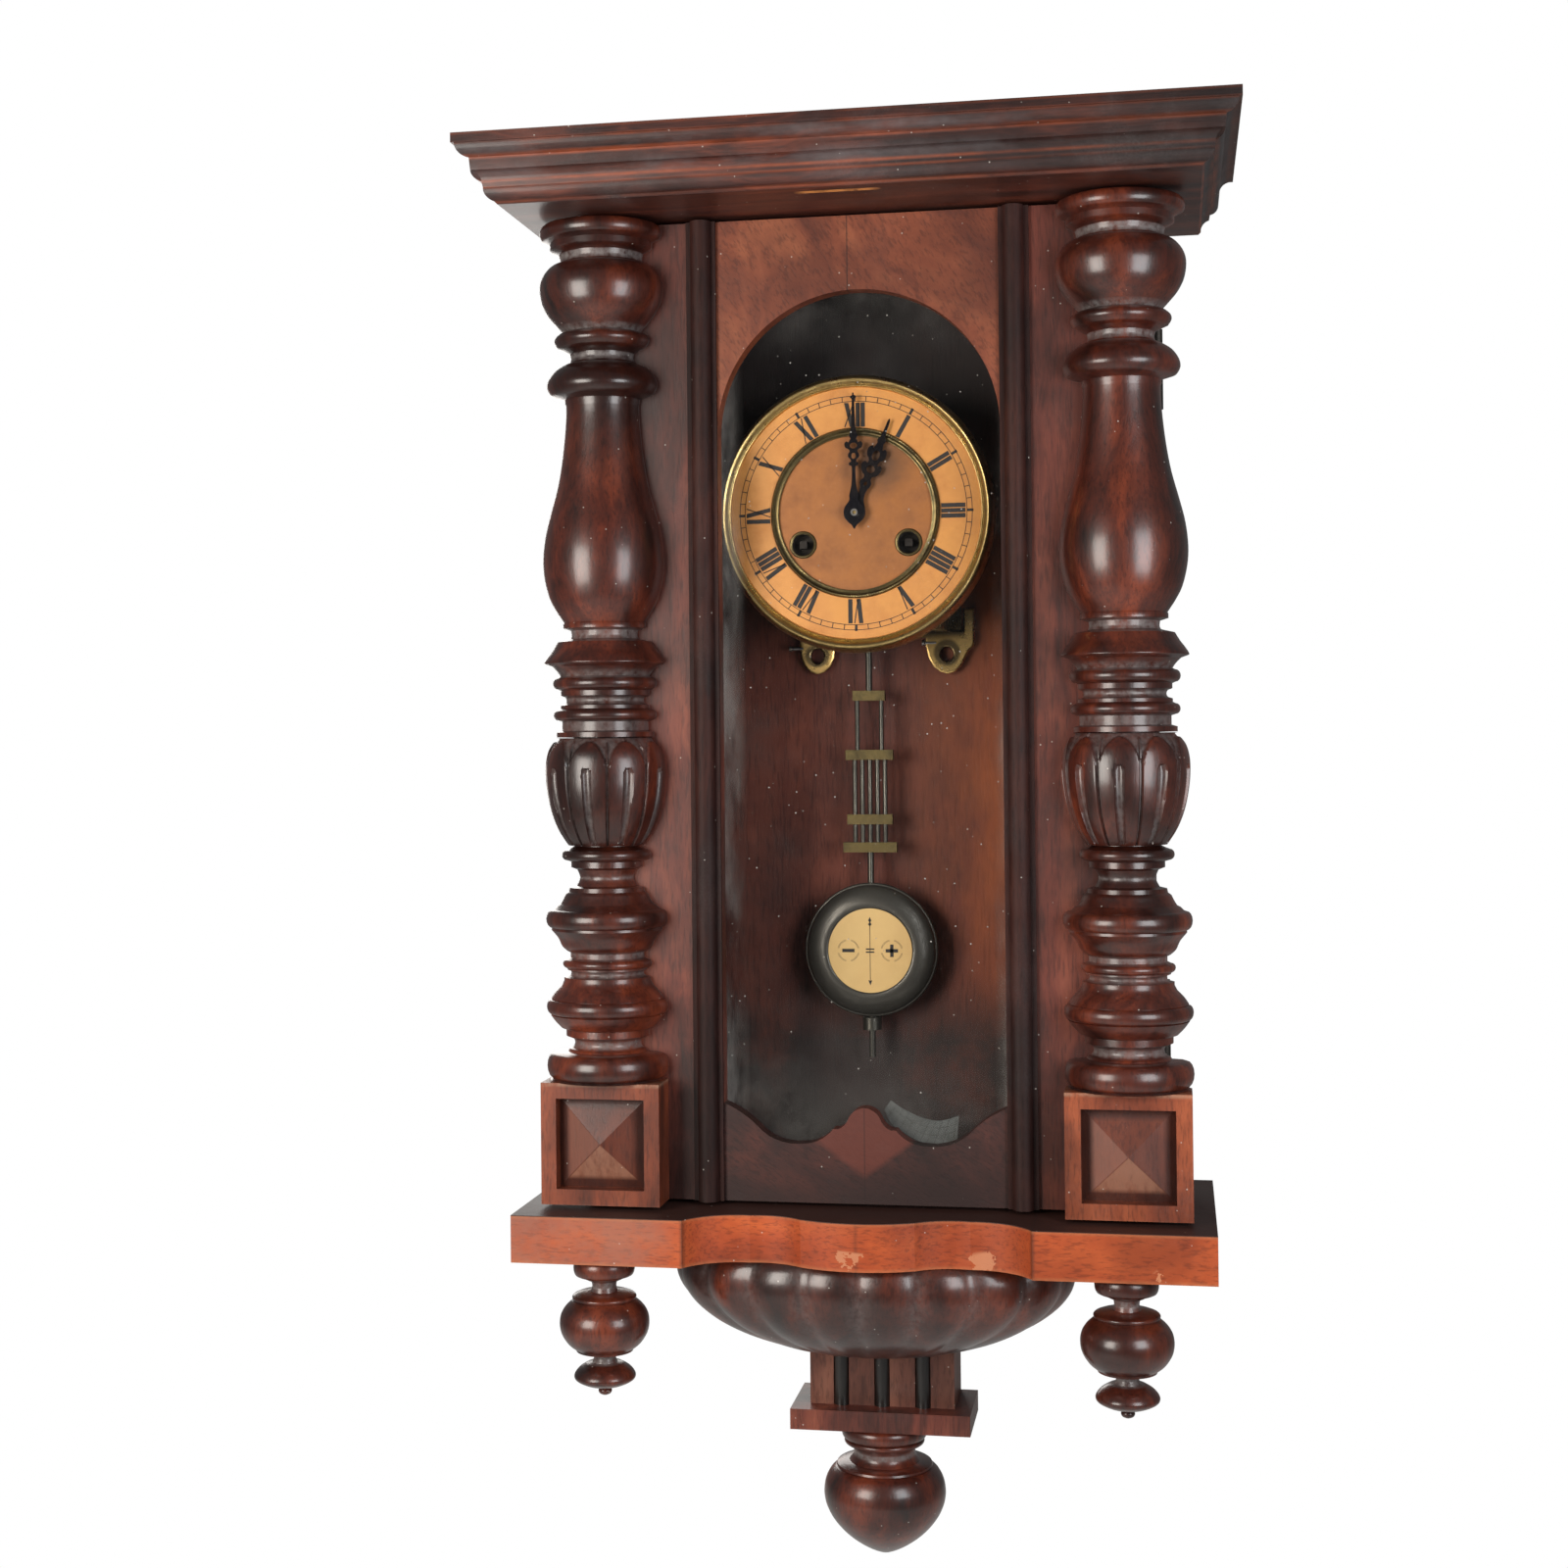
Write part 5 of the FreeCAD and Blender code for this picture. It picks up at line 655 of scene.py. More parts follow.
def flowThrough(points, finer=5):
    # a smooth line through given points
    line = []
    for number in range(len(points) - 1):
        before = points[max(number - 1, 0)]
        start, end = points[number], points[number + 1]
        after = points[min(number + 2, len(points) - 1)]
        for step in range(finer):
            share = step / finer
            line.append(tuple(0.5 * (2 * b + (c - a) * share + (2 * a - 5 * b + 4 * c - d) * share ** 2
                                     + (3 * b - a - 3 * c + d) * share ** 3)
                              for a, b, c, d in zip(before, start, end, after)))
    return line + [points[-1]]


def outlineOf(sections, finer=5, beadSteps=8):
    # each section is (kind, values): steps, a bead or cove (low, high, edge, crest), or a flowing line
    line = []
    for kind, *values in sections:
        if kind == "step":
            line += values
        elif kind == "bead":
            low, high, edge, crest = values
            for step in range(beadSteps + 1):
                turn = math.pi * step / beadSteps
                line.append((low + (high - low) * (1 - math.cos(turn)) / 2,
                             edge + (crest - edge) * math.sin(turn)))
        else:
            line += flowThrough(values, finer)
    return line


hollowPlan = {"look": 7.0, "slack": 0.8, "most": 0.75, "atSeam": 0.4}  # mm, and shares of full dust


def markHollows(piece, line, along, seam=None):
    # dust settles where the outline stands back behind the crests on both sides of it
    mark = piece.data.attributes.new("hollow", "FLOAT", "POINT")
    look = hollowPlan["look"]
    known = {}
    for number, point in enumerate(piece.data.vertices):
        forward = point.co.dot(along) / mm
        reach = (point.co - along * point.co.dot(along)).length / mm
        key = (round(forward, 1), round(reach, 1))
        if key not in known:
            before = max([radius for place, radius in line if 0 <= forward - place < look], default=0.0)
            after = max([radius for place, radius in line if 0 <= place - forward < look], default=0.0)
            sunk = (min(before, after) - reach - hollowPlan["slack"]) / look
            known[key] = min(hollowPlan["most"], max(0.0, sunk))
        mark.data[number].value = known[key]
        if seam is not None and -point.co.y / mm < seam:
            mark.data[number].value = hollowPlan["atSeam"]


def turnPiece(name, place, line, steps, along=upward, angle=360.0, seam=None):
    # one point is drawn along the outline of (along, radius) values, and the line is spun
    piece = beginPiece(name, place)
    bpy.ops.mesh.merge(type="CENTER")
    last = Vector((0, 0, 0))
    for number, (forward, radius) in enumerate(line):
        here = along * (forward * mm) + Vector((radius * mm, 0, 0))
        if number == 0:
            bpy.ops.transform.translate(value=here)
        else:
            bpy.ops.mesh.extrude_region_move(TRANSFORM_OT_translate={"value": here - last})
        last = here
    bpy.ops.mesh.select_all(action="SELECT")
    bpy.ops.mesh.spin(steps=steps, angle=math.radians(angle), center=place, axis=along)
    bpy.ops.mesh.select_all(action="SELECT")
    bpy.ops.mesh.remove_doubles(threshold=0.00001)
    if angle < 360:
        bpy.ops.mesh.select_all(action="DESELECT")
        bpy.ops.mesh.select_non_manifold()
        bpy.ops.mesh.edge_face_add()
        bpy.ops.mesh.select_all(action="SELECT")
    bpy.ops.mesh.normals_make_consistent(inside=False)
    bpy.ops.object.mode_set(mode="OBJECT")
    markHollows(piece, line, along, seam)
    return piece


# the half columns
columnPlan = {
    "across": 158.5, "depth": 115.5, "steps": 72, "urnSteps": 200, "seam": 1.5, "urn": (220.0, 286.0),
    # petals: degrees and mm, then shares of the urn's height and of a petal's width
    "petalPitch": 40.0, "petalAt": -5.0, "grooveDepth": 2.3, "fluteDepth": 2.6, "dartHeight": 1.2,
    "petalHalf": 0.465, "shoulder": 0.70, "head": 0.265, "grooveHalf": 0.035, "dart": (0.475, 0.76, 0.95),
    "fluteHalf": 0.125, "fluteTaper": 0.03, "fluteTop": 0.66, "fluteHead": 0.06, "fluteFoot": 0.02,
    "core": 0.02, "margin": 0.3, "dust": 0.13, "mostDust": 0.4,
    "sections": [
        ("step", (76.3, 0.0), (76.3, 36.0)), ("bead", 77.0, 92.5, 33.5, 37.9),
        ("step", (93.2, 31.0), (93.5, 25.0), (95.0, 24.0)), ("bead", 95.2, 102.0, 23.5, 20.7),
        ("step", (103.0, 26.0), (107.0, 26.0)), ("flow", (108.0, 29.0), (112.0, 32.8), (116.0, 35.7)),
        ("bead", 116.5, 125.5, 35.0, 37.9), ("flow", (126.0, 35.2), (130.0, 32.4), (134.0, 28.5)),
        ("step", (137.0, 27.0), (139.0, 27.0)), ("bead", 139.5, 143.5, 25.0, 22.6),
        ("bead", 144.5, 150.0, 25.0, 27.8), ("step", (151.0, 23.0), (154.0, 23.0)),
        ("flow", (155.0, 25.0), (158.0, 28.2), (163.0, 30.5), (168.0, 34.6)),
        ("bead", 169.5, 180.5, 34.5, 37.9), ("step", (181.0, 33.0), (183.0, 31.0)),
        ("flow", (184.0, 29.0), (187.0, 27.2), (190.0, 25.8)), ("step", (191.5, 23.8), (194.0, 23.3)),
        ("flow", (195.0, 19.0), (200.0, 16.8), (205.0, 18.5)), ("step", (206.5, 22.3), (210.0, 22.3)),
        ("bead", 210.8, 217.3, 25.0, 27.9), ("step", (218.5, 22.0), (219.5, 20.0), (286.2, 20.0)),
        ("step", (286.5, 30.5), (289.5, 30.5)), ("step", (290.5, 27.0), (296.0, 27.0)),
        ("bead", 296.8, 303.2, 29.5, 32.3), ("step", (304.0, 27.9), (306.0, 27.9)),
        ("bead", 306.5, 311.5, 26.5, 24.2), ("step", (312.0, 27.7), (315.0, 27.7)),
        ("bead", 315.8, 323.2, 29.5, 32.6), ("flow", (324.0, 27.9), (327.0, 30.0), (330.0, 33.0)),
        ("flow", (331.5, 37.2), (332.5, 37.7), (336.0, 35.6), (340.0, 32.6), (345.0, 29.6)),
        ("step", (346.3, 24.0)), ("flow", (347.0, 21.5), (349.0, 20.7), (352.0, 21.0)),
        ("step", (353.5, 25.9), (356.3, 25.9)),
        ("flow", (357.0, 25.4), (360.0, 27.4), (364.0, 30.0), (372.0, 34.1), (384.0, 37.1), (396.0, 37.9),
         (410.0, 36.4), (424.0, 33.0), (440.0, 28.7), (456.0, 25.8), (472.0, 23.9), (484.0, 23.0),
         (491.0, 22.9)),
        ("step", (492.5, 23.5), (494.5, 23.5)),
        ("flow", (495.5, 27.0), (497.0, 31.5), (500.0, 33.8), (503.0, 34.6), (507.0, 33.6), (512.0, 30.0),
         (516.0, 24.0)),
        ("flow", (517.0, 20.8), (520.0, 19.6), (523.0, 20.2)), ("step", (525.0, 24.0)),
        ("flow", (526.5, 27.5), (529.0, 29.2), (531.0, 29.8), (533.0, 29.2), (535.0, 27.0)),
        ("step", (536.0, 24.0)),
        ("flow", (537.0, 25.0), (540.0, 27.8), (546.0, 33.0), (553.0, 36.8), (560.0, 38.4), (566.0, 38.4),
         (571.0, 36.6), (575.0, 33.5), (577.0, 31.0)),
        ("flow", (578.5, 26.5), (581.0, 25.7), (584.5, 26.5)),
        ("step", (586.5, 31.0), (587.5, 32.0), (591.0, 32.0)),
        ("bead", 592.5, 602.0, 35.0, 38.3), ("step", (602.0, 0.0)),
    ],
    "urnLine": [(220.0, 23.8), (228.0, 29.0), (236.0, 32.6), (244.0, 35.0), (254.0, 36.8), (262.0, 37.5),
                (270.0, 37.4), (277.0, 36.0), (282.0, 33.5), (286.0, 30.8)],
}


def roundHead(share, start, length):
    # one up to the start, then down along a quarter of an oval to nothing
    if share <= start:
        return 1.0
    return math.sqrt(max(0.0, 1 - ((share - start) / length) ** 2))


def carveUrn(urn):
    # each petal has an arched head, a groove on both sides and a round-ended flute down its middle
    plan = columnPlan
    low, high = plan["urn"]
    dust = urn.data.attributes["hollow"].data
    for point in urn.data.vertices:
        side, out = point.co.x, -point.co.y
        reach = math.hypot(side, out)
        height = point.co.z / mm
        if reach < plan["core"] or not low + plan["margin"] < height < high - plan["margin"]:
            continue
        share = (height - low) / (high - low)
        turn = math.degrees(math.atan2(side, out)) - plan["petalAt"]
        across = abs((turn / plan["petalPitch"] + 0.5) % 1.0 - 0.5)
        half = plan["petalHalf"] * roundHead(share, plan["shoulder"], plan["head"])
        inside = (half - across) / plan["grooveHalf"]
        cut = plan["grooveDepth"] * min(1.0, max(0.0, 0.5 - inside))
        dartFrom, dartFoot, dartHead = plan["dart"]
        if across > dartFrom and dartFoot < share < dartHead:
            cut -= plan["dartHeight"]
        fluteHalf = plan["fluteHalf"] - plan["fluteTaper"] * (plan["shoulder"] - share)
        fluteHalf *= roundHead(share, plan["fluteTop"], plan["fluteHead"])
        if share > plan["fluteFoot"] and across < fluteHalf:
            cut += plan["fluteDepth"] * math.sqrt(1 - (across / fluteHalf) ** 2)
        scale = (reach - cut * mm) / reach
        point.co.x *= scale
        point.co.y *= scale
        dust[point.index].value = min(plan["mostDust"], cut * plan["dust"])


def makeColumn(name, way, node):
    plan = columnPlan
    place = spot(plan["across"] * way, plan["depth"], 0.0)
    line = outlineOf(plan["sections"], 4)
    column = turnPiece(name, place, line, plan["steps"], angle=180.0, seam=plan["seam"])
    low, high = plan["urn"]
    urnLine = [(low, 0.0)] + flowThrough(plan["urnLine"], 7) + [(high, 0.0)]
    urn = turnPiece(name + "Urn", place, urnLine, plan["urnSteps"], angle=180.0, seam=plan["seam"])
    carveUrn(urn)
    endPiece(joinPieces([column, urn], name), "mahogany", "door", [node], 38, finish["turned"])


makeColumn("leftColumn", -1, "column_left")
makeColumn("rightColumn", 1, "column_right")
print("stage: half columns turned")


# finials and the lobed bowl
finialPlan = {
    "sideAcross": 156.0, "sideDepth": 142.0, "sideTop": -28.4, "steps": 64,
    "bottomDepth": 34.5, "bottomTop": -152.8, "bottomSteps": 72,
    "side": [
        ("step", (0.0, 0.0), (0.0, 16.0)), ("bead", -0.4, -10.4, 16.6, 18.6),
        ("step", (-11.2, 14.0), (-13.0, 10.5)), ("flow", (-13.8, 7.9), (-17.0, 7.3), (-20.2, 8.2)),
        ("step", (-21.0, 15.8), (-22.0, 18.4)), ("bead", -22.2, -24.8, 18.2, 19.4), ("step", (-25.2, 18.5)),
        ("flow", (-25.6, 19.6), (-29.0, 23.4), (-33.5, 26.2), (-39.0, 27.1), (-45.0, 26.0), (-51.0, 22.2),
         (-55.0, 17.2)),
        ("step", (-55.8, 17.2), (-56.2, 14.0), (-57.0, 10.0)),
        ("flow", (-57.6, 7.2), (-60.0, 6.6), (-62.6, 7.6)),
        ("flow", (-63.4, 11.0), (-66.0, 15.2), (-69.0, 17.9), (-71.4, 18.6), (-73.4, 17.3), (-75.6, 13.0),
         (-77.0, 8.6), (-77.8, 4.4)),
        ("flow", (-78.3, 3.2), (-80.0, 4.1), (-81.8, 3.4), (-82.8, 1.4)), ("step", (-83.0, 0.0)),
    ],
    "bottom": [
        ("step", (0.0, 0.0), (0.0, 24.5)), ("bead", -0.4, -8.6, 25.4, 27.3),
        ("bead", -9.0, -12.4, 24.0, 25.6), ("step", (-13.0, 22.0)),
        ("flow", (-13.6, 20.4), (-17.0, 19.6), (-20.5, 20.2), (-23.4, 22.4)),
        ("step", (-24.0, 27.5), (-25.0, 30.2), (-26.2, 30.6), (-26.6, 30.1)),
        ("flow", (-27.0, 31.3), (-30.0, 34.5), (-35.0, 37.3), (-40.0, 38.5), (-45.0, 38.7), (-51.0, 37.5),
         (-58.0, 34.2), (-65.0, 28.8), (-71.0, 22.4), (-76.0, 15.4), (-79.4, 9.4), (-81.6, 4.6)),
        ("step", (-82.6, 0.0)),
    ],
}


def makeFinials():
    pair = []
    for name, way in (("leftFinial", -1), ("rightFinial", 1)):
        place = spot(finialPlan["sideAcross"] * way, finialPlan["sideDepth"], finialPlan["sideTop"])
        pair.append(turnPiece(name, place, outlineOf(finialPlan["side"], 5), finialPlan["steps"]))
    both = joinPieces(pair, "sideFinials")
    endPiece(both, "mahogany", "case", ["side_finials"], 35, finish["turned"])
    place = spot(0.0, finialPlan["bottomDepth"], finialPlan["bottomTop"])
    ball = turnPiece("bottomFinial", place, outlineOf(finialPlan["bottom"], 5), finialPlan["bottomSteps"])
    onlySelect(ball)
    bpy.ops.object.mode_set(mode="EDIT")
    bpy.ops.mesh.select_all(action="SELECT")
    # its back is cut flat at the wall
    bpy.ops.mesh.bisect(plane_co=(0, 0, 0), plane_no=(0, 1, 0), use_fill=True, clear_outer=True)
    bpy.ops.object.mode_set(mode="OBJECT")
    endPiece(ball, "mahogany", "case", ["bottom_finial"], 35, finish["turned"])


bowlPlan = {
    "halfWidth": 124.0, "halfDepth": 73.0, "centreDepth": 81.0, "top": -28.4, "height": 68.0, "steps": 252,
    "lobes": 18, "lobeDepth": 4.2, "lobeRound": 0.8, "fadeFrom": 0.36, "fadeOver": 0.2, "rimSteps": 720,
    "dust": 0.05, "mostDust": 0.22,
    # the room that the square block takes from the bowl
    "room": (92.0, 44.4, 60.0), "roomDepth": 22.3, "roomFoot": -98.0,
    "line": [(0.0, 0.935), (-0.07, 0.975), (-0.16, 0.997), (-0.26, 1.0), (-0.36, 0.985), (-0.46, 0.95),
             (-0.56, 0.895), (-0.67, 0.81), (-0.77, 0.70), (-0.85, 0.58), (-0.915, 0.45), (-0.96, 0.31),
             (-0.99, 0.16)],
}


def makeBowl():
    plan = bowlPlan
    place = spot(0.0, plan["centreDepth"], plan["top"])
    line = [(along * plan["height"], wide * plan["halfWidth"])
            for along, wide in flowThrough(plan["line"], 4)]
    line = [(0.0, 0.0)] + line + [(-plan["height"], 0.0)]
    bowl = turnPiece("lobedBowl", place, line, plan["steps"])
    flat = plan["halfDepth"] / plan["halfWidth"]
    # the lobes are spaced evenly along the oval rim
    rim = [0.0]
    rimSteps = plan["rimSteps"]
    for step in range(rimSteps):
        turn = 2 * math.pi * (step + 0.5) / rimSteps
        rim.append(rim[-1] + math.hypot(math.sin(turn), flat * math.cos(turn)))
    dust = bowl.data.attributes["hollow"].data
    for point in bowl.data.vertices:
        reach = math.hypot(point.co.x, point.co.y)
        if reach < mm:
            continue
        turn = math.atan2(point.co.y, point.co.x) % (2 * math.pi)
        at = turn / (2 * math.pi) * rimSteps
        gone = rim[int(at) % rimSteps] * (1 - at % 1) + rim[min(int(at) + 1, rimSteps)] * (at % 1)
        wide = reach / (plan["halfWidth"] * mm)
        wave = abs(math.sin(math.pi * (gone / rim[-1] * plan["lobes"] + 0.5)))
        fade = min(1.0, max(0.0, (wide - plan["fadeFrom"]) / plan["fadeOver"]))
        cut = plan["lobeDepth"] * mm * (1 - wave ** plan["lobeRound"]) * fade
        scale = (reach - cut) / reach
        point.co.x *= scale
        point.co.y *= scale * flat
        dust[point.index].value = min(plan["mostDust"], cut / mm * plan["dust"])
    # the square block passes through the bowl's back
    wide, deep, tall = plan["room"]
    room = beginPiece("blockRoom", spot(0.0, plan["roomDepth"], plan["roomFoot"]))
    bpy.ops.transform.resize(value=(wide, deep, 1.0))
    bpy.ops.mesh.extrude_region_move(TRANSFORM_OT_translate={"value": (0, 0, tall * mm)})
    bpy.ops.mesh.select_all(action="SELECT")
    bpy.ops.mesh.normals_make_consistent(inside=False)
    bpy.ops.object.mode_set(mode="OBJECT")
    onlySelect(bowl)
    cutter = bowl.modifiers.new("blockRoom", "BOOLEAN")
    cutter.operation = "DIFFERENCE"
    cutter.object = room
    bpy.ops.object.modifier_apply(modifier=cutter.name)
    bpy.data.objects.remove(room)
    endPiece(bowl, "mahogany", "case", ["gadrooned_bowl"], 50, finish["turned"])


makeFinials()
makeBowl()
print("stage: finials and bowl shaped")


# the dial: painted marks, a milled ring and the hands
dialPlan = {
    "across": -6.0, "height": 424.0, "ringFront": 84.2, "ink": 0.05,
    "numeralInner": 53.4, "numeralOuter": 68.5, "thick": 2.7, "thin": 0.7, "inset": 0.7,
    "track": (69.2, 72.4), "trackLine": 0.42, "trackSteps": 180,
    "minuteTick": 0.5, "hourTick": 1.7, "hourReach": 0.9,
    "numerals": ["XII", "I", "II", "III", "IIII", "V", "VI", "VII", "VIII", "IX", "X", "XI"],
    "widths": {"I": 3.2, "V": 7.2, "X": 7.6},
}


def onDial(depth, across=0.0, drop=0.0):
    return spot(dialPlan["across"] + across, depth, dialPlan["height"] - drop)


def addStroke(piece, corners):
    # one more four-cornered plate in the piece that is being edited
    bpy.ops.mesh.select_all(action="DESELECT")
    bpy.ops.mesh.primitive_plane_add(size=mm, location=(0, 0, 0), rotation=(math.pi / 2, 0, 0))
    sketch = bmesh.from_edit_mesh(piece.data)
    fresh = [face for face in sketch.faces if face.select][0]
    for point, (side, up) in zip(fresh.verts, corners):
        point.co = Vector((side * mm, 0, up * mm))
    bmesh.update_edit_mesh(piece.data)


def addTurned(piece, corners, degrees):
    # a stroke drawn at twelve is carried round the dial
    turn = math.radians(degrees)
    sine, cosine = math.sin(turn), math.cos(turn)
    addStroke(piece, [(side * cosine + up * sine, up * cosine - side * sine) for side, up in corners])


def addRing(piece, middle, radius, width, steps, gaps=()):
    # a thin ring of short plates; the steps of each quarter that are in gaps stay bare
    for step in range(steps):
        if step % (steps // 4) in gaps:
            continue
        corners = []
        for number, reach in ((step, radius), (step + 1, radius), (step + 1, radius + width),
                              (step, radius + width)):
            turn = 2 * math.pi * number / steps
            corners.append((middle + math.sin(turn) * reach, math.cos(turn) * reach))
        addStroke(piece, corners)


def inkLayer(marks, thickness):
    # the flat strokes get the thickness of a coat of ink
    bpy.ops.object.mode_set(mode="OBJECT")
    layer = marks.modifiers.new("ink", "SOLIDIFY")
    layer.thickness = thickness * mm
    layer.offset = 0.0
    onlySelect(marks)
    bpy.ops.object.modifier_apply(modifier=layer.name)
    bpy.ops.object.mode_set(mode="EDIT")
    bpy.ops.mesh.select_all(action="SELECT")
    bpy.ops.mesh.normals_make_consistent(inside=False)


def strokesOf(sign, left, low, high):
    # thick and thin strokes of one Roman sign, drawn upright
    thick, thin = dialPlan["thick"], dialPlan["thin"]
    width = dialPlan["widths"][sign]
    middle = left + width / 2
    if sign == "I":
        return [[(middle - thick / 2, low), (middle + thick / 2, low),
                 (middle + thick / 2, high), (middle - thick / 2, high)]]
    start, end = left + dialPlan["inset"], left + width - dialPlan["inset"]
    if sign == "V":
        return [[(middle - thick / 2, low), (middle + thick / 2, low), (start + thick, high), (start, high)],
                [(middle, low), (middle + thin, low), (end, high), (end - thin, high)]]
    return [[(end - thick, low), (end, low), (start + thick, high), (start, high)],
            [(start, low), (start + thin, low), (end, high), (end - thin, high)]]


def makeDialMarks():
    marks = beginPiece("dialMarks", onDial(dialPlan["ringFront"] + dialPlan["ink"]))
    bpy.ops.mesh.delete(type="VERT")
    for hour, letters in enumerate(dialPlan["numerals"]):
        left = -sum(dialPlan["widths"][letter] for letter in letters) / 2
        for letter in letters:
            for corners in strokesOf(letter, left, dialPlan["numeralInner"], dialPlan["numeralOuter"]):
                addTurned(marks, corners, 30 * hour)
            left += dialPlan["widths"][letter]
    inner, outer = dialPlan["track"]
    for minute in range(60):
        half, top = dialPlan["minuteTick"] / 2, outer
        if minute % 5 == 0:
            half, top = dialPlan["hourTick"] / 2, outer + dialPlan["hourReach"]
        addTurned(marks, [(-half, inner), (half, inner), (half, top), (-half, top)], 6 * minute)
    for radius in dialPlan["track"]:
        addRing(marks, 0.0, radius, dialPlan["trackLine"], dialPlan["trackSteps"])
    bpy.ops.mesh.select_all(action="SELECT")
    bpy.ops.mesh.remove_doubles(threshold=0.000002)
    bpy.ops.mesh.normals_make_consistent(inside=False)
    inkLayer(marks, dialPlan["ink"])
    endPiece(marks, "blued_steel", "case", smooth=0, material=finish["ink"])


ringPlan = {
    "base": 84.2, "teeth": 220, "milled": 0.35, "milledFrom": (50.3, 0.9),  # radius and height in mm
    "line": [(0.0, 48.0), (0.9, 48.0), (1.0, 48.4), (0.7, 49.4), (0.9, 50.2), (1.7, 50.7), (2.3, 51.4),
             (2.2, 52.1), (1.5, 52.7), (0.6, 53.0), (0.0, 53.0)],
}


def makeMilledRing():
    steps = ringPlan["teeth"] * 2
    radius, height = ringPlan["milledFrom"]
    ring = turnPiece("milledRing", onDial(ringPlan["base"]), ringPlan["line"], steps, outward)
    for point in ring.data.vertices:
        reach = math.hypot(point.co.x, point.co.z) / mm
        if reach > radius and -point.co.y / mm > height:
            step = round(math.atan2(point.co.z, point.co.x) / (2 * math.pi) * steps)
            if step % 2:
                point.co.y += ringPlan["milled"] * mm
    endPiece(ring, "brass", "case", smooth=25, material=finish["darkBrass"])


bezelPlan = {
    "base": 83.0, "steps": 192,
    "line": [(0.6, 78.0), (1.3, 78.0), (2.2, 78.3), (3.0, 78.6), (3.2, 79.0), (2.6, 79.6), (3.0, 80.2),
             (4.2, 81.0), (5.2, 82.0), (5.5, 82.8), (5.2, 83.6), (4.3, 84.4), (3.2, 85.0), (1.0, 85.8),
             (-2.0, 86.3), (-6.0, 86.6), (-9.6, 86.6), (-9.6, 85.8), (-3.5, 85.4), (-0.4, 84.6), (-0.4, 80.2),
             (0.6, 80.0)],
}


def makeBezel():
    line = bezelPlan["line"] + [bezelPlan["line"][0]]
    bezel = turnPiece("brassBezel", onDial(bezelPlan["base"]), line, bezelPlan["steps"], outward)
    endPiece(bezel, "brass", "case", ["dial_bezels"], 30)


handPlan = {
    "hourTurn": 21.5, "hourBack": 86.9, "minuteBack": 88.7, "thickness": 0.7, "edge": 0.08,
    "minuteBore": 2.2, "hourBore": 3.4, "boreRoom": 0.08,
    "minute": [(0.25, -10.2), (1.6, -7.8), (3.6, -6.0), (5.7, -3.3), (6.5, 0.0), (5.7, 3.3), (3.9, 5.8),
               (2.7, 8.0), (2.9, 10.4), (2.3, 13.0), (1.5, 16.5), (1.15, 21.0), (1.0, 26.0), (1.3, 28.6),
               (2.7, 29.2), (2.8, 30.6), (1.6, 31.3), (1.9, 32.8), (3.4, 34.4), (3.2, 36.4), (2.3, 37.8),
               (3.2, 39.2), (5.0, 40.2), (5.6, 42.4), (4.4, 43.9), (3.0, 43.2), (2.5, 44.3), (1.7, 45.6),
               (2.5, 47.0), (2.2, 48.8), (1.5, 51.0), (1.15, 56.0), (0.9, 63.0), (0.75, 69.8), (1.7, 70.8),
               (1.6, 71.9), (0.6, 72.4), (0.35, 74.0)],
    "minuteHoles": [(0.0, 34.9, 1.5, 1.9), (0.0, 41.3, 2.3, 1.9)],
    "hour": [(0.3, -6.8), (3.0, -6.1), (5.4, -4.1), (6.8, 0.0), (5.6, 4.0), (3.7, 6.9), (2.4, 9.6),
             (2.0, 13.0), (2.4, 16.0), (3.3, 18.0), (3.5, 20.0), (2.3, 22.0), (2.6, 24.0), (4.4, 25.2),
             (6.0, 27.6), (6.3, 30.6), (4.9, 32.2), (3.5, 31.4), (3.0, 32.9), (3.7, 34.6), (5.2, 36.0),
             (6.1, 38.8), (5.6, 41.6), (4.0, 42.6), (3.0, 41.4), (2.3, 43.6), (1.9, 45.4), (2.6, 46.8),
             (2.1, 48.6), (1.2, 50.0), (0.9, 55.0), (0.7, 59.5), (0.3, 61.4)],
    "hourHoles": [(0.0, 19.0, 1.1, 1.4), (0.0, 28.4, 2.6, 2.5), (0.0, 37.4, 2.4, 3.3)],
}


def cutSheet(name, loops, thickness, edge):
    # a flat pierced outline, given its thickness and a small rounded edge
    sheet = bpy.data.curves.new(name, "CURVE")
    sheet.dimensions = "2D"
    sheet.fill_mode = "BOTH"
    sheet.extrude = (thickness / 2 - edge) * mm
    sheet.bevel_depth = edge * mm
    sheet.bevel_resolution = 1
    for loop in loops:
        spline = sheet.splines.new("POLY")
        spline.points.add(len(loop) - 1)
        for point, (side, up) in zip(spline.points, loop):
            point.co = (side * mm, up * mm, 0, 1)
        spline.use_cyclic_u = True
    piece = bpy.data.objects.new(name, sheet)
    bpy.context.scene.collection.objects.link(piece)
    onlySelect(piece)
    bpy.ops.object.convert(target="MESH")
    piece = bpy.context.object
    piece.name = name
    piece.data.name = name
    return piece


def standUp(piece, middle, turn=0.0):
    # a sheet drawn flat is stood up to face the room, and turned clockwise by degrees
    piece.matrix_world = (Matrix.Translation(middle) @ Matrix.Rotation(math.radians(turn), 4, "Y")
                          @ Matrix.Rotation(math.pi / 2, 4, "X"))


def ovalLoop(side, up, wide, tall, steps=28):
    return [(side + wide * math.cos(2 * math.pi * step / steps),
             up + tall * math.sin(2 * math.pi * step / steps))
            for step in range(steps)]


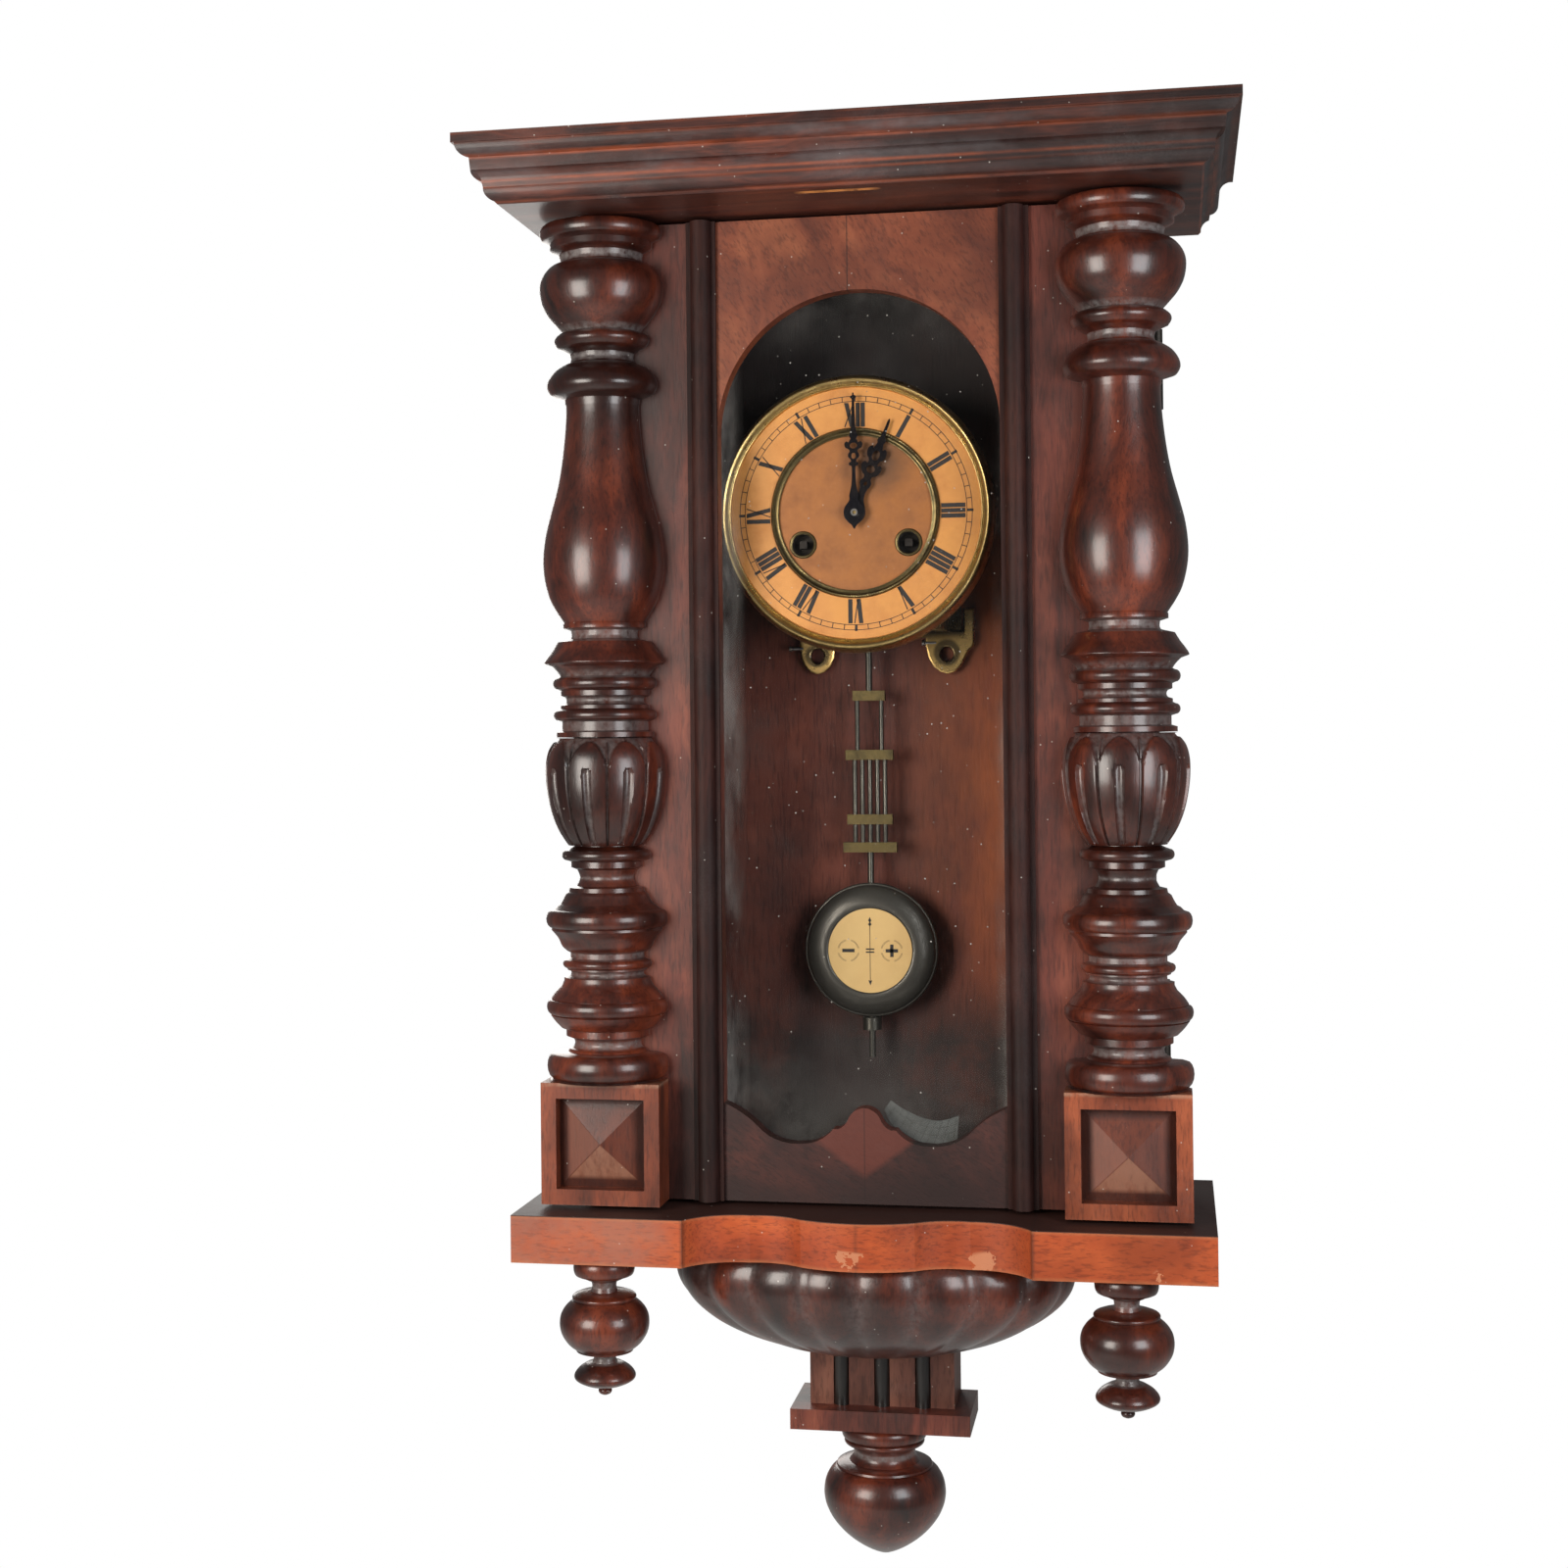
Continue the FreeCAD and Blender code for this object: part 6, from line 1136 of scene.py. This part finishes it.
def makeHand(name, half, holes, bore, back, turn, node, body):
    right = flowThrough(half, 4)
    loops = [right + [(-side, up) for side, up in reversed(right)]]
    wide = bore + handPlan["boreRoom"]
    loops += [ovalLoop(*hole) for hole in holes + [(0.0, 0.0, wide, wide)]]
    piece = cutSheet(name, loops, handPlan["thickness"], handPlan["edge"])
    standUp(piece, onDial(back + handPlan["thickness"] / 2), turn)
    endPiece(piece, "blued_steel", body, [node], 30)


windingPlan = {"halfSpacing": 33.0, "drop": 19.0, "base": 83.6, "steps": 64,
               "rim": [(0.0, 6.6), (0.8, 6.7), (1.2, 7.3), (1.1, 8.0), (0.6, 8.5), (0.0, 8.6), (0.0, 6.6)],
               "cup": [(0.3, 6.6), (-8.6, 6.2), (-8.6, 3.5), (-9.0, 3.5), (-9.0, 6.9), (0.0, 6.9),
                       (0.3, 6.6)]}


def makeWindingRims():
    # a raised rim round each winding hole, and a near black well behind it, painted shade inside the hole
    rims, cups = [], []
    for number, way in enumerate((-1, 1)):
        place = onDial(windingPlan["base"], windingPlan["halfSpacing"] * way, windingPlan["drop"])
        steps = windingPlan["steps"]
        rims.append(turnPiece("windingRim" + str(number), place, windingPlan["rim"], steps, outward))
        cups.append(turnPiece("windingShadeWell" + str(number), place, windingPlan["cup"], steps, outward))
    for pair, name, material in ((rims, "windingRims", "darkBrass"), (cups, "windingShadeWells", "ink")):
        endPiece(joinPieces(pair, name), "brass", "case", smooth=30, material=finish[material])


bracketPlan = {
    "plate": [(-52.0, 349.5), (52.0, 349.5), (52.0, 371.0), (-52.0, 371.0)], "back": 10.0, "thickness": 3.0,
    "plateEdge": 0.5, "earEdge": 1.2, "armEdge": 0.6,
    "spacing": 41.0, "ear": 4.0,
    "arm": (8.0, 353.0, 362.0, 10.0, 73.5),  # its width, its two heights and its two depths
    "leftEar": [(-51.6, 352.0), (-51.6, 343.5), (-50.8, 337.0), (-48.4, 331.6), (-44.8, 328.3),
                (-41.0, 327.3), (-37.2, 328.3), (-33.6, 331.6), (-31.2, 337.0), (-30.4, 343.5),
                (-30.4, 352.0)],
    "rightEar": [(31.0, 352.0), (31.0, 343.5), (32.6, 336.4), (35.6, 330.8), (39.6, 327.4), (43.8, 326.3),
                 (48.0, 327.4), (51.8, 330.8), (54.2, 335.6), (56.4, 340.2), (59.6, 343.2), (60.2, 346.0),
                 (60.2, 366.0), (55.4, 366.0), (55.4, 352.0)],
    "hole": 5.2, "holeStretch": 1.1, "holeHeight": 338.0, "leftHole": -41.0, "rightHole": 43.6,
    "pins": [(-59.5, 343.0), (27.5, 345.4)], "pinDepth": 16.0, "pinSteps": 24,
    "pin": [(0.0, 0.0), (0.0, 1.9), (1.6, 1.9), (2.0, 1.3), (9.0, 1.3), (9.4, 0.9), (12.6, 0.9), (12.6, 0.0)],
}


def makeBracket():
    # the wall plate with its two rounded ears, and the two arms that carry the movement
    plan = bracketPlan
    sheets = [("bracketPlate", [plan["plate"]], plan["back"], plan["thickness"], plan["plateEdge"])]
    for name, hole in (("leftEar", plan["leftHole"]), ("rightEar", plan["rightHole"])):
        tall = plan["hole"] * plan["holeStretch"]
        loops = [plan[name], ovalLoop(hole, plan["holeHeight"], plan["hole"], tall)]
        sheets.append((name, loops, plan["back"] + plan["thickness"], plan["ear"], plan["earEdge"]))
    wide, low, high, near, far = plan["arm"]
    for number, way in enumerate((-1, 1)):
        left, right = plan["spacing"] * way - wide / 2, plan["spacing"] * way + wide / 2
        loops = [[(left, low), (right, low), (right, high), (left, high)]]
        sheets.append(("bracketArm" + str(number), loops, near, far - near, plan["armEdge"]))
    pieces = []
    for name, loops, back, thickness, edge in sheets:
        piece = cutSheet(name, loops, thickness, edge)
        standUp(piece, spot(0.0, back + thickness / 2, 0.0))
        pieces.append(piece)
    bracket = joinPieces(pieces, "bracketEars")
    endPiece(bracket, "brass", "case", ["movement_bracket"], 40, finish["earBrass"])


def makeEarPins():
    # two small headed pins, turned upright at the origin and laid along x beside the ears
    plan = bracketPlan
    pins = []
    for number, (side, height) in enumerate(plan["pins"]):
        pin = turnPiece("earPin" + str(number), spot(0.0, 0.0, shelfDrop), plan["pin"], plan["pinSteps"])
        place = spot(side, plan["pinDepth"], height)
        pin.matrix_world = Matrix.Translation(place) @ Matrix.Rotation(math.pi / 2, 4, "Y")
        pins.append(pin)
    endPiece(joinPieces(pins, "earPins"), "steel", "case", smooth=30)


def makeHands():
    plan = handPlan
    makeHand("minuteHandCut", plan["minute"], plan["minuteHoles"], plan["minuteBore"], plan["minuteBack"],
             0.0, "minute_hand", "minute_work")
    makeHand("hourHandCut", plan["hour"], plan["hourHoles"], plan["hourBore"], plan["hourBack"],
             plan["hourTurn"], "hour_hand", "hour_work")


makeDialMarks()
makeBezel()
makeMilledRing()
makeWindingRims()
makeBracket()
makeEarPins()
makeHands()
print("stage: dial dressed")


# the pendulum's bob and the rating marks on its disc
bobPlan = {
    "across": -6.0, "height": 148.0, "depth": 27.0, "discFront": 8.0, "steps": 128, "ink": 0.05,
    "line": [(-8.0, 0.0), (-8.0, 27.0), (-7.0, 33.0), (-5.0, 38.5), (-2.4, 42.2), (-0.6, 43.0), (0.8, 43.0),
             (1.6, 42.4), (1.8, 41.6), (3.4, 40.6), (5.4, 38.0), (7.0, 34.4), (7.9, 31.0), (8.0, 29.0),
             (7.8, 27.8), (7.3, 27.2), (7.2, 0.0)],
    "marks": [
        [(-0.2, -20.0), (0.2, -20.0), (0.2, 20.0), (-0.2, 20.0)],  # the rating line with its tips
        [(0.0, -22.2), (1.3, -18.8), (0.0, -19.4), (-1.3, -18.8)],
        [(-1.2, 16.8), (0.0, 15.6), (1.2, 16.8), (0.0, 18.6)],
        [(-1.0, 19.2), (0.0, 17.8), (1.0, 19.2), (0.0, 21.6)],
        [(-2.7, 0.5), (2.7, 0.5), (2.7, 1.4), (-2.7, 1.4)],  # the double bar at the middle
        [(-2.7, -1.4), (2.7, -1.4), (2.7, -0.5), (-2.7, -0.5)],
        [(-18.0, -1.1), (-10.0, -1.1), (-10.0, 1.1), (-18.0, 1.1)],  # minus, and the two strokes of plus
        [(10.0, -1.1), (18.0, -1.1), (18.0, 1.1), (10.0, 1.1)],
        [(12.9, -4.0), (15.1, -4.0), (15.1, 4.0), (12.9, 4.0)],
    ],
    "rings": (6.3, 6.9), "ringsAt": (-14.0, 14.0), "ringLine": 0.18, "ringSteps": 28, "ringGaps": (0, 6),
}


def makeBob():
    place = spot(bobPlan["across"], bobPlan["depth"], bobPlan["height"])
    line = [bobPlan["line"][0]] + flowThrough(bobPlan["line"][1:-1], 3) + [bobPlan["line"][-1]]
    bob = turnPiece("bobShell", place, line, bobPlan["steps"], outward)
    endPiece(bob, "brass", "pendulum", ["pendulum_bob"], 30, finish["bobSteel"])
    front = spot(bobPlan["across"], bobPlan["depth"] + bobPlan["discFront"] + bobPlan["ink"],
                 bobPlan["height"])
    marks = beginPiece("ratingMarks", front)
    bpy.ops.mesh.delete(type="VERT")
    for corners in bobPlan["marks"]:
        addStroke(marks, corners)
    for radius in bobPlan["rings"]:
        for middle in bobPlan["ringsAt"]:
            addRing(marks, middle, radius, bobPlan["ringLine"], bobPlan["ringSteps"], bobPlan["ringGaps"])
    inkLayer(marks, bobPlan["ink"])
    endPiece(marks, "blued_steel", "pendulum", smooth=0, material=finish["ink"])


makeBob()
print("stage: pendulum dressed")


# the ruled paper strip behind the glass, at the lower right
stripPlan = {
    "depth": 101.0, "thickness": 0.3, "edge": 0.04, "inkGap": 0.03, "ruleHalf": 0.12, "lineHalf": 0.1,
    "ruleStop": 0.4, "lines": (0.32, 0.64),  # the lines along it, as shares of its width
    "upper": [(14.6, 63.2), (20.0, 59.4), (26.0, 56.2), (32.0, 53.6), (38.4, 51.9), (44.0, 51.4),
              (50.0, 52.6), (56.0, 54.7)],
    "lower": [(10.8, 57.5), (14.0, 50.0), (19.0, 45.6), (25.7, 41.7), (32.0, 38.6), (38.2, 37.5),
              (46.0, 38.0), (54.8, 40.4)],
}


def makeStrip():
    plan = stripPlan
    upper, lower = flowThrough(plan["upper"], 3), flowThrough(plan["lower"], 3)
    strip = cutSheet("glassStrip", [upper + list(reversed(lower))], plan["thickness"], plan["edge"])
    standUp(strip, spot(0.0, plan["depth"], 0.0))
    endPiece(strip, "glass", "door", smooth=0, material=finish["paper"])
    marks = beginPiece("stripLines", spot(0.0, plan["depth"] + plan["thickness"] / 2 + plan["inkGap"], 0.0))
    bpy.ops.mesh.delete(type="VERT")
    half, stop = plan["ruleHalf"], plan["ruleStop"]
    for number in range(2, len(upper) - 1, 2):
        (side, top), (low, bottom) = upper[number], lower[number]
        addStroke(marks, [(low - half, bottom), (low + half, bottom), (side + half, top - stop),
                          (side - half, top - stop)])
    half = plan["lineHalf"]
    for share in plan["lines"]:
        line = [(a + (c - a) * share, b + (d - b) * share) for (a, b), (c, d) in zip(upper, lower)]
        for (a, b), (c, d) in zip(line[:-1], line[1:]):
            addStroke(marks, [(a, b - half), (c, d - half), (c, d + half), (a, b + half)])
    bpy.ops.mesh.select_all(action="SELECT")
    bpy.ops.mesh.normals_make_consistent(inside=False)
    endPiece(marks, "glass", "door", smooth=0, material=finish["ink"])


makeStrip()
print("stage: strip behind the glass")


# camera, floor, lamps
view = {
    "place": (0.184, -1.4701, -0.2868), "forward": (-0.1833, 0.983, 0.0102), "up": (0.0115, -0.0082, 0.9999),
    "focal": 2299.8, "frame": 1600.0, "centre": (764.0, 729.3),  # in the photograph's pixels
    "sensor": 36.0, "farEnd": 50.0,
}


def makeCamera():
    forward = Vector(view["forward"]).normalized()
    right = forward.cross(Vector(view["up"])).normalized()
    up = right.cross(forward)
    lens = bpy.data.cameras.new("photoCamera")
    camera = bpy.data.objects.new("photoCamera", lens)
    bpy.context.scene.collection.objects.link(camera)
    turn = Matrix((right, up, -forward)).transposed().to_4x4()
    camera.matrix_world = Matrix.Translation(view["place"]) @ turn
    lens.sensor_width = view["sensor"]
    lens.lens = lens.sensor_width * view["focal"] / view["frame"]
    lens.shift_x = 0.5 - view["centre"][0] / view["frame"]
    lens.shift_y = view["centre"][1] / view["frame"] - 0.5
    lens.clip_end = view["farEnd"]
    bpy.context.scene.camera = camera


floorPlan = {"height": -1.05, "half": 6.0, "colour": (0.86, 0.86, 0.85), "roughness": 0.9}


def whiteForCamera(tree, plain, white, output):
    # white where the camera looks, through the pane too, and the plain shader for all other rays
    path = tree.nodes.new("ShaderNodeLightPath")
    seen = mathOf(tree, "MAXIMUM", path.outputs["Is Camera Ray"], path.outputs["Is Transmission Ray"],
                  clamp=False)
    mix = tree.nodes.new("ShaderNodeMixShader")
    tree.links.new(seen, mix.inputs[0])
    tree.links.new(plain.outputs[0], mix.inputs[1])
    tree.links.new(white.outputs[0], mix.inputs[2])
    tree.links.new(mix.outputs[0], tree.nodes[output].inputs["Surface"])


def paleMaterial(name, colour):
    material = bpy.data.materials.new(name)
    material.use_nodes = True
    tree = material.node_tree
    shader = tree.nodes["Principled BSDF"]
    shader.inputs["Base Color"].default_value = (*colour, 1)
    shader.inputs["Roughness"].default_value = floorPlan["roughness"]
    glow = addNode(tree, "ShaderNodeEmission", Color=(1, 1, 1, 1), Strength=1.0)
    whiteForCamera(tree, shader, glow, "Material Output")
    return material


def makeFloor():
    bpy.ops.object.select_all(action="DESELECT")
    bpy.ops.mesh.primitive_plane_add(size=floorPlan["half"] * 2, location=(0, 0, floorPlan["height"]))
    ground = bpy.context.object
    ground.name = "studioFloor"
    ground.data.materials.append(paleMaterial("studioPale", floorPlan["colour"]))


lampPlan = {
    "aim": (0, 0, -0.3), "world": 0.15,
    "lamps": [  # name, place, width and height, power, colour
        ("leftLamp", (-0.70, -1.10, -0.24), (0.55, 0.70), 14.5, (1.0, 0.94, 0.87)),
        ("rightLamp", (0.66, -0.80, -0.24), (0.42, 0.60), 7.0, (0.96, 0.98, 1.0)),
        ("backLamp", (-0.55, 1.25, -0.05), (0.70, 0.90), 6.0, (1.0, 0.97, 0.93)),
    ],
}


def makeLamps():
    for name, place, (width, height), power, colour in lampPlan["lamps"]:
        light = bpy.data.lights.new(name, "AREA")
        light.shape = "RECTANGLE"
        light.size = width
        light.size_y = height
        light.energy = power
        light.color = colour
        lamp = bpy.data.objects.new(name, light)
        bpy.context.scene.collection.objects.link(lamp)
        lamp.location = place
        aim = Vector(lampPlan["aim"]) - Vector(place)
        lamp.rotation_euler = aim.to_track_quat("-Z", "Y").to_euler()
        lamp.visible_camera = False


def makeWorld():
    world = bpy.data.worlds.new("studioWorld")
    world.use_nodes = True
    tree = world.node_tree
    soft = tree.nodes["Background"]
    soft.inputs["Color"].default_value = (1, 1, 1, 1)
    soft.inputs["Strength"].default_value = lampPlan["world"]
    white = addNode(tree, "ShaderNodeBackground", Color=(1, 1, 1, 1), Strength=1.0)
    whiteForCamera(tree, soft, white, "World Output")
    bpy.context.scene.world = world


makeCamera()
makeFloor()
makeLamps()
makeWorld()
bpy.context.scene.view_settings.view_transform = "Standard"
print("stage: studio set")
